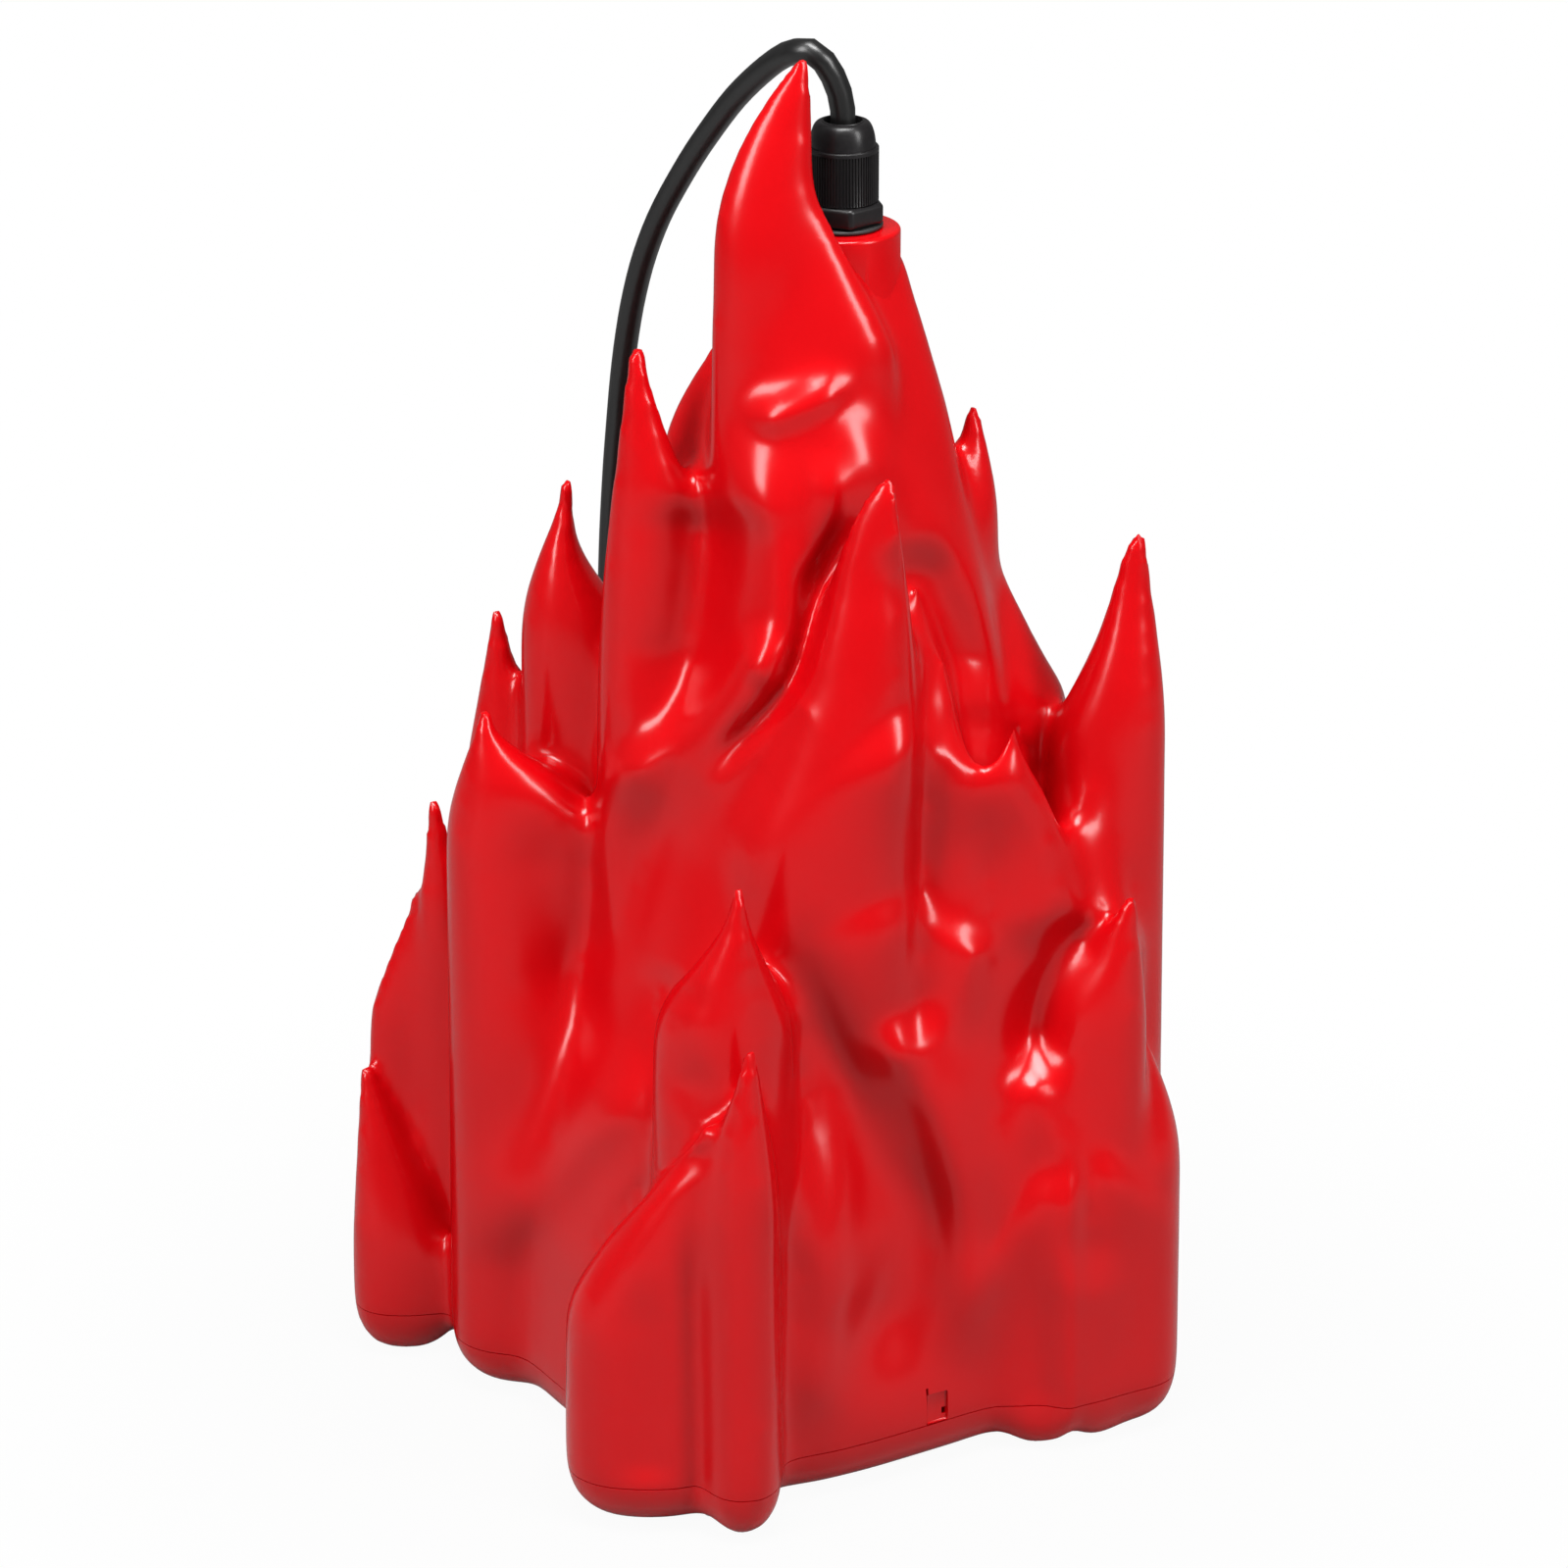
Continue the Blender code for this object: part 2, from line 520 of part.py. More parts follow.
body_profile = ((THREAD_RADIUS, barrel_top), (THREAD_RADIUS, locknut_foot - 0.0012),
                (THREAD_RADIUS - 0.0006, locknut_foot - 0.0018), (bore, locknut_foot - 0.0018),
                (bore, seal_foot - GAP), (seal_bore, seal_foot - GAP), (seal_bore, barrel_top))
body = turned("gland_body", body_profile, NYLON)
flange = cylinder_mesh("gland_flange", FLANGE_FLATS / 2 / math.cos(math.pi / 6), flange_foot, flange_top, (0, 0),
                       6, bevel=0.0006)
flange_piece = cutter("gland_flange", flange)
flange_piece.location = (*GLAND_AXIS, 0.0)
flange_bore = turned("gland_flange_bore", ((THREAD_RADIUS - 0.0002, flange_top + 0.002),
                                           (THREAD_RADIUS - 0.0002, flange_foot - 0.002),
                                           (0.0, flange_foot - 0.002), (0.0, flange_top + 0.002)),
                     None, 32, cutter_collection)
flange_bore.hide_render = True
flange_bore.display_type = "WIRE"
boolean(flange_piece, "DIFFERENCE", flange_bore)
boolean(body, "UNION", flange_piece)

locknut = new_object("gland_locknut", cylinder_mesh("gland_locknut", LOCKNUT_FLATS / 2 / math.cos(math.pi / 6),
                                                    locknut_foot, locknut_top, (0, 0), 6, bevel=0.0005), NYLON)
locknut.location = (*GLAND_AXIS, 0.0)
locknut_bore = cutter("locknut_bore", cylinder_mesh("locknut_bore", THREAD_RADIUS + GAP, locknut_foot - 0.01,
                                                    locknut_top + 0.01, GLAND_AXIS, 32))
boolean(locknut, "DIFFERENCE", locknut_bore)

turned("gland_seal", ((SEAL_RADIUS, seal_top), (SEAL_RADIUS, seal_foot), (bore, seal_foot), (bore, seal_top)),
       RUBBER, 24)
slip_foot = barrel_top + GAP
slip_top = slip_foot + SLIP_RING_HEIGHT
turned("gland_slip_ring", ((THREAD_RADIUS - 0.0012, slip_top), (THREAD_RADIUS, slip_top - 0.0004),
                           (THREAD_RADIUS, slip_foot), (CORD_RADIUS + 0.0009, slip_foot),
                           (CORD_RADIUS + 0.0009, slip_top)), NYLON, 24)

nut_foot = flange_top + GAP
skirt_top = nut_foot + NUT_SKIRT
dome_top = skirt_top + NUT_DOME
inner_top = slip_top + GAP
nut_bore = THREAD_RADIUS + GAP
dome_profile = [(NUT_MOUTH, dome_top)]
for k in range(7):
    angle = math.pi / 2 * (1 - k / 6)
    dome_profile.append((NUT_MOUTH + 0.0008 + (NUT_RADIUS - NUT_MOUTH - 0.0015) * math.cos(angle),
                         skirt_top + NUT_DOME * math.sin(angle)))
dome_profile += [(NUT_RADIUS - 0.0007, nut_foot + 0.001), (nut_bore, nut_foot + 0.001), (nut_bore, inner_top),
                 (NUT_MOUTH, inner_top + 0.002)]
nut = turned("gland_nut", dome_profile, NYLON, 32)

bm = bmesh.new()
bmesh.ops.create_cone(bm, cap_ends=True, segments=2 * NUT_RIBS, radius1=NUT_RADIUS, radius2=NUT_RADIUS,
                      depth=NUT_SKIRT)
for vertex in bm.verts:
    count = round(math.atan2(vertex.co.y, vertex.co.x) / math.tau * 2 * NUT_RIBS)
    if count % 2:
        vertex.co.xy *= 1 - NUT_RIB_DEPTH / NUT_RADIUS
bmesh.ops.translate(bm, vec=(0, 0, nut_foot + NUT_SKIRT / 2), verts=bm.verts)
ribs = cutter("nut_ribs", mesh_from("nut_ribs", bm))
ribs.location = (*GLAND_AXIS, 0.0)
boolean(nut, "UNION", ribs)
nut_cut = turned("nut_cut", ((NUT_MOUTH, dome_top + 0.01), (NUT_MOUTH, inner_top + 0.002), (nut_bore, inner_top),
                             (nut_bore, nut_foot - 0.01), (0.0, nut_foot - 0.01), (0.0, dome_top + 0.01)),
                 None, 32, cutter_collection)
nut_cut.hide_render = True
nut_cut.display_type = "WIRE"
boolean(nut, "DIFFERENCE", nut_cut)

# Base screws, from below into the cover's pillars

for index, (*place, _) in enumerate(BASE_SCREWS, 1):
    head = cylinder_mesh(f"base_screw_{index}", HEAD_RADIUS, HEAD_SEAT - GAP - HEAD_HEIGHT, HEAD_SEAT - GAP,
                         (0, 0), 16)
    screw = new_object(f"base_screw_{index}", head, STEEL)
    screw.location = (*place, 0.0)
    shank = cutter(f"screw_shank_{index}", cylinder_mesh("screw_shank", SCREW_RADIUS, HEAD_SEAT - GAP - 0.001,
                                                         SCREW_TIP, place, 12))
    boolean(screw, "UNION", shank)
    for turn in (0.0, math.pi / 2):
        slot = box_mesh("screw_slot", (0.0038, 0.0009, 0.0024), (0, 0, HEAD_SEAT - GAP - HEAD_HEIGHT))
        slot.transform(Matrix.Rotation(turn, 4, "Z"))
        slot.transform(Matrix.Translation((*place, 0.0)))
        boolean(screw, "DIFFERENCE", cutter(f"screw_slot_{index}_{round(math.degrees(turn))}", slot))

# Light post with its boards, and the driver and terminals on the pan

floor = WALL + GAP
post_length, post_width, post_plate = POST_FLANGE
post_size = (POST_SIDE, POST_SIDE, POST_HEIGHT)
post_foot = floor + post_plate
post = new_object("led_post", box_mesh("led_post", post_size, (*POST_CENTRE, post_foot + POST_HEIGHT / 2),
                                       0.0015, 1), POST_WHITE)
post_plate_mesh = box_mesh("post_plate", (post_length, post_width, 2 * post_plate),
                           (*POST_CENTRE, floor + post_plate))
boolean(post, "UNION", cutter("post_plate", post_plate_mesh))
hollow_side = POST_SIDE - 2 * POST_WALL
post_hollow = box_mesh("post_hollow", (hollow_side, hollow_side, POST_HEIGHT + 0.04),
                       (*POST_CENTRE, post_foot + POST_HEIGHT / 2))
boolean(post, "DIFFERENCE", cutter("post_hollow", post_hollow))
plate_top = floor + 2 * post_plate
for index, side in enumerate((-1, 1), 1):
    place = (POST_CENTRE.x + side * POST_SCREW_SPACING / 2, POST_CENTRE.y)
    hole = cylinder_mesh(f"post_hole_{index}", SCREW_RADIUS + GAP, 0.0, plate_top + 0.01, place, 12)
    boolean(post, "DIFFERENCE", cutter(f"post_hole_{index}", hole))
    screw = new_object(f"post_screw_{index}", cylinder_mesh(f"post_screw_{index}", HEAD_RADIUS, plate_top + GAP,
                                                           plate_top + GAP + HEAD_HEIGHT, place, 16), STEEL)
    shank = cylinder_mesh("post_shank", SCREW_RADIUS, floor + GAP, plate_top + 0.001, place, 12)
    boolean(screw, "UNION", cutter(f"post_shank_{index}", shank))

board_width, board_length, board_thickness = BOARD
board_place = Vector((0, -POST_SIDE / 2 - GAP - board_thickness / 2, 0))
pattern = cutter("board_pattern", box_mesh("board_pattern", (board_width, board_thickness, board_length), board_place))
for count in range(DIODES):
    height = (count + 0.5 - DIODES / 2) * board_length / DIODES
    diode = box_mesh("diode", (DIODE[0], DIODE[2] + 0.0005, DIODE[1]),
                     (0, board_place.y - board_thickness / 2 - DIODE[2] / 2 + 0.00025, height))
    boolean(pattern, "UNION", cutter(f"diode_{count + 1}", diode))
board_mesh = evaluated_copy(pattern)
for index, turn in enumerate((0.0, math.pi / 2, -math.pi / 2), 1):
    board = new_object(f"led_board_{index}", board_mesh, None if board_mesh.materials else BOARD_GREEN)
    board.location = (*POST_CENTRE, post_foot + 0.020 + board_length / 2)
    board.rotation_euler.z = turn

driver_foot = WALL + DRIVER_STANDOFF + GAP
driver_top = driver_foot + DRIVER[2]
driver = new_object("driver_board", box_mesh("driver_board", DRIVER, (*DRIVER_CENTRE, driver_foot + DRIVER[2] / 2)),
                    BOARD_GREEN)
transformer_place = (DRIVER_CENTRE.x - 0.008, DRIVER_CENTRE.y + 0.006, driver_top + TRANSFORMER[2] / 2 - 0.0005)
transformer = box_mesh("transformer", TRANSFORMER, transformer_place, 0.001, 1)
boolean(driver, "UNION", cutter("transformer", transformer))
capacitor_radius, capacitor_height = CAPACITOR
capacitor = cylinder_mesh("capacitor", capacitor_radius, driver_top - 0.0005, driver_top + capacitor_height,
                          (DRIVER_CENTRE.x + 0.012, DRIVER_CENTRE.y - 0.008), 16, bevel=0.0006)
boolean(driver, "UNION", cutter("capacitor", capacitor))
for index, side in enumerate((-1, 1), 1):
    place = (DRIVER_CENTRE.x, DRIVER_CENTRE.y + side * DRIVER_SCREW_SPACING / 2)
    standoff = cylinder_mesh(f"standoff_{index}", HEAD_RADIUS, WALL - 0.0005, WALL + DRIVER_STANDOFF, place, 16)
    boolean(pan, "UNION", cutter(f"standoff_{index}", standoff))
    hole = cutter(f"driver_hole_{index}", cylinder_mesh("driver_hole", SCREW_RADIUS + GAP, WALL + 0.001,
                                                        driver_top + 0.01, place, 12))
    boolean(pan, "DIFFERENCE", hole)
    boolean(driver, "DIFFERENCE", hole)
    screw = new_object(f"driver_screw_{index}", cylinder_mesh(f"driver_screw_{index}", HEAD_RADIUS, driver_top + GAP,
                                                              driver_top + GAP + HEAD_HEIGHT, place, 16), STEEL)
    shank = cylinder_mesh("driver_shank", SCREW_RADIUS, WALL + 0.001 + GAP, driver_top + 0.001, place, 12)
    boolean(screw, "UNION", cutter(f"driver_shank_{index}", shank))

terminal_top = floor + TERMINAL[2]
terminal = new_object("terminal_block", box_mesh("terminal_block", TERMINAL,
                                                 (*TERMINAL_CENTRE, floor + TERMINAL[2] / 2), 0.0008, 1), POST_WHITE)
for side in (-1, 1):
    well = cylinder_mesh("terminal_well", 0.0018, terminal_top - 0.004, terminal_top + 0.01,
                         (TERMINAL_CENTRE.x, TERMINAL_CENTRE.y + side * 0.0075), 12)
    boolean(terminal, "DIFFERENCE", cutter(f"terminal_well_{side}", well))

# Cord: its tail inside the light, the free stretch, the coil behind the light, the tie and the plug

join_height = seal_top
tail_route = [(*GLAND_AXIS, join_height)] + [Vector(point) * MM for point in TAIL_ROUTE]
tail_route.append((*TERMINAL_CENTRE, terminal_top + GAP))
tube("cord_tail", smooth_route(tail_route, CORD_STEP * 1.3), CORD_RADIUS, JACKET)

lay_height = COIL_LIFT + CORD_RADIUS
coil_start = Vector((COIL_CENTRE.x + COIL_RADIUS, COIL_CENTRE.y - 2 * CORD_RADIUS, lay_height))
cord_route = [(*GLAND_AXIS, join_height + GAP)] + [Vector(point) * MM for point in CORD_ROUTE]
cord_route.append(coil_start - Vector((0, GAP, 0)))
cord_points = smooth_route(cord_route, CORD_STEP)
tube("cord", cord_points, CORD_RADIUS, JACKET)


def coil_place(turn):
    """Centre line of the coil: in along the floor, up a layer where it reverses, and out again."""
    inner_radius = COIL_RADIUS - COIL_PITCH * COIL_TURNS
    past = turn - COIL_TURNS
    rise = 0.0
    if past <= 0:
        radius = COIL_RADIUS - COIL_PITCH * turn
    elif past < 0.5:
        radius = inner_radius - COIL_PITCH * (past - 2 * past ** 2)
        share = past / 0.5
        rise = COIL_PITCH * share ** 2 * (3 - 2 * share)
    else:
        radius = inner_radius + COIL_PITCH * (past - 0.5)
        rise = COIL_PITCH
    angle = math.tau * turn
    return Vector((COIL_CENTRE.x + radius * math.cos(angle), COIL_CENTRE.y + radius * math.sin(angle),
                   lay_height + rise))


coil_count = round((2 * COIL_TURNS + 0.5) * COIL_POINTS)
turns = [coil_place(k / COIL_POINTS) for k in range(coil_count + 1)]
coil_end = turns[-1] + Vector((0, 4 * CORD_RADIUS, 0))
coil_points = [coil_start] + turns + [coil_end]
tube("cord_coil", coil_points, CORD_RADIUS, JACKET, 1)
least = min((turns[k] - turns[j]).length for k in range(len(turns))
            for j in range(k + COIL_POINTS // 2, len(turns)))
print("coil: least gap to itself", round((least - 2 * CORD_RADIUS) / MM, 2), "mm")
print("cord: free length", round(length_of(cord_points), 3), "m, coiled length", round(length_of(coil_points), 3), "m")

tie_direction = Vector((math.cos(TIE_ANGLE), math.sin(TIE_ANGLE)))
bundle = []
for point in turns:
    offset = point.xy - COIL_CENTRE
    if offset.normalized().dot(tie_direction) > math.cos(math.radians(12)):
        bundle.append((offset.length, point.z))
bundle_in = min(radius for radius, _ in bundle) - CORD_RADIUS - GAP
bundle_out = max(radius for radius, _ in bundle) + CORD_RADIUS + GAP
bundle_foot = min(height for _, height in bundle) - CORD_RADIUS - GAP
bundle_top = max(height for _, height in bundle) + CORD_RADIUS + GAP
tie_centre = ((bundle_in + bundle_out) / 2, 0, (bundle_foot + bundle_top) / 2)
tie_size = (bundle_out - bundle_in + 2 * TIE_WALL, TIE_WIDTH, bundle_top - bundle_foot + 2 * TIE_WALL)
band = cutter("tie_band", box_mesh("tie_band", tie_size, tie_centre))
tie_hole = cutter("tie_hole", box_mesh("tie_hole", (tie_size[0] - 2 * TIE_WALL, TIE_WIDTH * 2,
                                                    tie_size[2] - 2 * TIE_WALL), tie_centre))
boolean(band, "DIFFERENCE", tie_hole)
tie = new_object("cord_tie", evaluated_copy(band), RUBBER)
tie.location = (*COIL_CENTRE, 0.0)
tie.rotation_euler.z = TIE_ANGLE

plug_width, plug_length, plug_height = PLUG
plug_x = coil_end.x
plug_z = coil_end.z
nose_start = coil_end.y + GAP
body_start = nose_start + PLUG_NOSE
body_end = body_start + plug_length
plug = new_object("plug_body", box_mesh("plug_body", PLUG, (plug_x, body_start + plug_length / 2,
                                                            GAP / 2 + plug_height / 2), 0.0035, 2), NYLON)
bm = bmesh.new()
bmesh.ops.create_cone(bm, cap_ends=True, segments=16, radius1=PLUG_END_RADIUS, radius2=PLUG_END_RADIUS * 1.6,
                      depth=PLUG_NOSE + 0.006)
bmesh.ops.rotate(bm, cent=(0, 0, 0), matrix=Matrix.Rotation(-math.pi / 2, 3, "X"), verts=bm.verts)
bmesh.ops.translate(bm, vec=(plug_x, nose_start + (PLUG_NOSE + 0.006) / 2, plug_z), verts=bm.verts)
boolean(plug, "UNION", cutter("plug_nose", mesh_from("plug_nose", bm)))
for index, side in enumerate((-1, 1), 1):
    pin_x = plug_x + side * PIN_SPACING / 2
    for name, radius, start, end in (("pin_socket", PIN_RADIUS + GAP, body_end - 0.006, body_end + 0.01),
                                     ("plug_pin", PIN_RADIUS, body_end - 0.006 + GAP, body_end + PIN_LENGTH)):
        bm = bmesh.new()
        bmesh.ops.create_cone(bm, cap_ends=True, segments=12, radius1=radius, radius2=radius, depth=end - start)
        bmesh.ops.rotate(bm, cent=(0, 0, 0), matrix=Matrix.Rotation(-math.pi / 2, 3, "X"), verts=bm.verts)
        bmesh.ops.translate(bm, vec=(pin_x, (start + end) / 2, plug_z), verts=bm.verts)
        mesh = mesh_from(f"{name}_{index}", bm)
        if name == "plug_pin":
            new_object(f"plug_pin_{index}", mesh, BRASS)
        else:
            boolean(plug, "DIFFERENCE", cutter(f"pin_socket_{index}", mesh))

for piece in part_collection.objects:
    if piece.type == "MESH":
        shade(piece)
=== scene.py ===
import math

import bpy
import numpy as np
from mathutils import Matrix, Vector


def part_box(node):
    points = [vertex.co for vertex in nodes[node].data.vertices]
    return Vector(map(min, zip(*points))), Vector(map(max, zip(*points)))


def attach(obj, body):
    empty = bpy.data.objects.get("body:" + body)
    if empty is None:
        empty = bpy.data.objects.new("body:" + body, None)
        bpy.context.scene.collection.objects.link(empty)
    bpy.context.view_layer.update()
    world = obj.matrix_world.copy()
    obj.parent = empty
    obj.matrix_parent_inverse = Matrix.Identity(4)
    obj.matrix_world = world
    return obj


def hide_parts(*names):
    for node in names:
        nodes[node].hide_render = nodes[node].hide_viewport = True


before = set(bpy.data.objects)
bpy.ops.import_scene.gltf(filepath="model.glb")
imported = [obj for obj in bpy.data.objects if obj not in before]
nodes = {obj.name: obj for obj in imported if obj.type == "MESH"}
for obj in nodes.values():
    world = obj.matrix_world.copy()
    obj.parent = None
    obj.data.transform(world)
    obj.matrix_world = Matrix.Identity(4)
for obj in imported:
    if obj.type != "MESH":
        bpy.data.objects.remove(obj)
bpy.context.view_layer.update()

# Viewpoint: the light seen across the corner between its front and right faces, from a little above, with a
# long lens.

MM = 0.001
CORNER = math.radians(58.5)
LOOK_DOWN = math.radians(22)
MIDDLE = Vector((0, 0, 0.190))
DISTANCE = 1.5556
RIGHTWARD = Vector((math.cos(CORNER), math.sin(CORNER), 0))
TO_VIEWER = Vector((math.sin(CORNER) * math.cos(LOOK_DOWN), -math.cos(CORNER) * math.cos(LOOK_DOWN),
                    math.sin(LOOK_DOWN)))
UPWARD = TO_VIEWER.cross(RIGHTWARD)

camera_data = bpy.data.cameras.new("camera")
camera_data.sensor_width = 36
camera_data.lens = 126.08
camera = bpy.data.objects.new("camera", camera_data)
bpy.context.scene.collection.objects.link(camera)
camera.location = MIDDLE + TO_VIEWER * DISTANCE
camera.rotation_euler = (-TO_VIEWER).to_track_quat("-Z", "Y").to_euler()
bpy.context.scene.camera = camera

# Lead: a round black mains cable. It rises from the gland, bends over the crown, falls behind the left side
# and ends in two layers of turns beside its plug. A soft extruded jacket, smooth with faint long streaks.

LEAD_RADIUS = 0.0035
LEAD_STEP = 0.005

# the given points of the free length, in millimetres
LEAD_ROUTE = ((0, 18.8, 379), (0, 18.4, 386), (-0.8, 16.5, 392.3), (-1.2, 14, 396.8), (-1.9, 11.5, 399.4),
              (-4.7, 9.6, 400.4), (-15.4, 8, 396.1), (-35.1, 7.1, 382), (-52.4, 6.3, 365.4),
              (-65.8, 6.1, 351), (-76.7, 5.4, 336.8), (-86.2, 5.7, 322.4), (-92.8, 6, 308.9),
              (-97.8, 6.4, 295.6), (-101.4, 6.7, 282.9), (-104.4, 7.1, 270.3), (-107.2, 6.8, 249.8),
              (-109.4, 6.4, 223.6), (-110.3, 5.9, 187.6), (-110, 6.2, 140), (-110, 6.4, 90),
              (-110, 6.5, 38), (-110, 9.8, 20.2), (-110, 18.8, 9), (-110, 30, 5.1))
LEAD_EXIT = Vector((0, 0.0188, 0.3687))
COIL_CENTRE = Vector((-0.1565, 0.048))
COIL_RADIUS = 0.0465
COIL_PITCH = 0.00765
COIL_TURNS = 1.75
COIL_BED = 0.0048
STEPS_PER_TURN = 48


def flowing_line(points, step):
    """Points a step apart along a smooth curve through the given ones."""
    samples = 24
    route = [np.array(point, float) for point in points]
    route = [route[0] * 2 - route[1]] + route + [route[-1] * 2 - route[-2]]
    dense = []
    for before, start, end, after in zip(route, route[1:], route[2:], route[3:]):
        for k in range(samples):
            t = k / samples
            dense.append(0.5 * (2 * start + (end - before) * t
                                + (2 * before - 5 * start + 4 * end - after) * t * t
                                + (3 * start - before - 3 * end + after) * t ** 3))
    dense = np.array(dense + [route[-2]])
    strides = np.linalg.norm(np.diff(dense, axis=0), axis=1)
    along = np.concatenate(([0], np.cumsum(strides)))
    wanted = np.linspace(0, along[-1], max(2, round(along[-1] / step)) + 1)
    return np.stack([np.interp(wanted, along, dense[:, axis]) for axis in range(dense.shape[1])], axis=1)


def coil_place(turn):
    """The coil's centre line: in along the floor, up a layer where it reverses, and out again."""
    inner_radius = COIL_RADIUS - COIL_PITCH * COIL_TURNS
    past = turn - COIL_TURNS
    if past <= 0:
        radius, rise = COIL_RADIUS - COIL_PITCH * turn, 0.0
    elif past < 0.5:
        radius = inner_radius - COIL_PITCH * (past - 2 * past ** 2)
        rise = COIL_PITCH * (2 * past) ** 2 * (3 - 4 * past)
    else:
        radius, rise = inner_radius + COIL_PITCH * (past - 0.5), COIL_PITCH
    angle = math.tau * turn
    return (COIL_CENTRE.x + radius * math.cos(angle), COIL_CENTRE.y + radius * math.sin(angle),
            COIL_BED + rise)


turn_count = 2 * COIL_TURNS + 0.5
coil_turns = [coil_place(k / STEPS_PER_TURN) for k in range(round(turn_count * STEPS_PER_TURN) + 1)]
coil_start = (COIL_CENTRE.x + COIL_RADIUS, COIL_CENTRE.y - 2 * LEAD_RADIUS, COIL_BED)
free_route = [tuple(LEAD_EXIT)] + [tuple(Vector(point) * MM) for point in LEAD_ROUTE] + [coil_start]
lead_end = (coil_turns[-1][0], coil_turns[-1][1] + 4 * LEAD_RADIUS, coil_turns[-1][2])
lead_points = [tuple(point) for point in flowing_line(free_route, LEAD_STEP)] + coil_turns + [lead_end]

lead_curve = bpy.data.curves.new("lead", "CURVE")
lead_curve.dimensions = "3D"
lead_curve.bevel_depth = LEAD_RADIUS
lead_curve.bevel_resolution = 6
lead_curve.use_fill_caps = True
line = lead_curve.splines.new("POLY")
line.points.add(len(lead_points) - 1)
for spot, point in zip(line.points, lead_points):
    spot.co = (*point, 1)
line.use_smooth = True
lead = bpy.data.objects.new("lead", lead_curve)
bpy.context.scene.collection.objects.link(lead)


def new_material(name, colour, roughness, metallic=0.0):
    """A Principled material, with its node tree and its shader."""
    made = bpy.data.materials.new(name)
    made.use_nodes = True
    shader = made.node_tree.nodes["Principled BSDF"]
    shader.inputs["Base Color"].default_value = (*colour, 1)
    shader.inputs["Roughness"].default_value = roughness
    shader.inputs["Metallic"].default_value = metallic
    return made, made.node_tree, shader


def grain_group():
    """Grain: a noise stretched along chosen axes, given out as a roughness, a tint and a bump normal."""
    group = bpy.data.node_groups.new("grain", "ShaderNodeTree")
    sockets = (("Stretch", "NodeSocketVector", (1, 1, 1)), ("Scale", "NodeSocketFloat", 200.0),
               ("Roughness", "NodeSocketFloat", 0.4), ("Roughness Swing", "NodeSocketFloat", 0.1),
               ("Colour", "NodeSocketColor", (0.5, 0.5, 0.5, 1)),
               ("Dark", "NodeSocketColor", (0.4, 0.4, 0.4, 1)),
               ("Bump", "NodeSocketFloat", 0.1), ("Bump Size", "NodeSocketFloat", 0.0002))
    for label, kind, value in sockets:
        made = group.interface.new_socket(label, in_out="INPUT", socket_type=kind)
        made.default_value = value
    for label, kind in (("Colour", "NodeSocketColor"), ("Roughness", "NodeSocketFloat"),
                        ("Normal", "NodeSocketVector")):
        group.interface.new_socket(label, in_out="OUTPUT", socket_type=kind)
    tree, link = group.nodes, group.links.new
    entry, leave = tree.new("NodeGroupInput"), tree.new("NodeGroupOutput")
    place = tree.new("ShaderNodeTexCoord")
    stretch = tree.new("ShaderNodeVectorMath")
    stretch.operation = "MULTIPLY"
    link(place.outputs["Object"], stretch.inputs[0])
    link(entry.outputs["Stretch"], stretch.inputs[1])
    noise = tree.new("ShaderNodeTexNoise")
    noise.inputs["Detail"].default_value = 5
    link(stretch.outputs["Vector"], noise.inputs["Vector"])
    link(entry.outputs["Scale"], noise.inputs["Scale"])
    swing = tree.new("ShaderNodeMath")
    swing.operation = "MULTIPLY_ADD"
    centre = tree.new("ShaderNodeMath")
    centre.operation = "SUBTRACT"
    centre.inputs[1].default_value = 0.5
    link(noise.outputs["Fac"], centre.inputs[0])
    link(centre.outputs[0], swing.inputs[0])
    link(entry.outputs["Roughness Swing"], swing.inputs[1])
    link(entry.outputs["Roughness"], swing.inputs[2])
    mix = tree.new("ShaderNodeMix")
    mix.data_type = "RGBA"
    link(noise.outputs["Fac"], mix.inputs["Factor"])
    link(entry.outputs["Dark"], mix.inputs[6])
    link(entry.outputs["Colour"], mix.inputs[7])
    bump = tree.new("ShaderNodeBump")
    link(entry.outputs["Bump"], bump.inputs["Strength"])
    link(entry.outputs["Bump Size"], bump.inputs["Distance"])
    link(noise.outputs["Fac"], bump.inputs["Height"])
    link(mix.outputs[2], leave.inputs["Colour"])
    link(swing.outputs[0], leave.inputs["Roughness"])
    link(bump.outputs["Normal"], leave.inputs["Normal"])
    return group


grain = grain_group()


def grained(name, colour, dark, roughness, swing, scale, stretch=(1, 1, 1), bump=0.2, size=0.0002,
            metallic=0.0):
    """A material whose colour, roughness and bump come from the grain group."""
    made, tree, shader = new_material(name, colour, roughness, metallic)
    finish = tree.nodes.new("ShaderNodeGroup")
    finish.node_tree = grain
    for label, value in (("Stretch", stretch), ("Scale", scale), ("Roughness", roughness),
                         ("Roughness Swing", swing), ("Colour", (*colour, 1)), ("Dark", (*dark, 1)),
                         ("Bump", bump), ("Bump Size", size)):
        finish.inputs[label].default_value = value
    tree.links.new(finish.outputs["Colour"], shader.inputs["Base Color"])
    tree.links.new(finish.outputs["Roughness"], shader.inputs["Roughness"])
    tree.links.new(finish.outputs["Normal"], shader.inputs["Normal"])
    return made


jacket = grained("lead_jacket", (0.007, 0.0067, 0.0067), (0.004, 0.004, 0.004), roughness=0.34, swing=0.12,
                 scale=260, stretch=(1, 1, 0.25), bump=0.25)
lead_curve.materials.append(jacket)
nodes["cord_tail"].data.materials.clear()
nodes["cord_tail"].data.materials.append(jacket)
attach(lead, "light")
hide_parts("cord", "cord_coil")

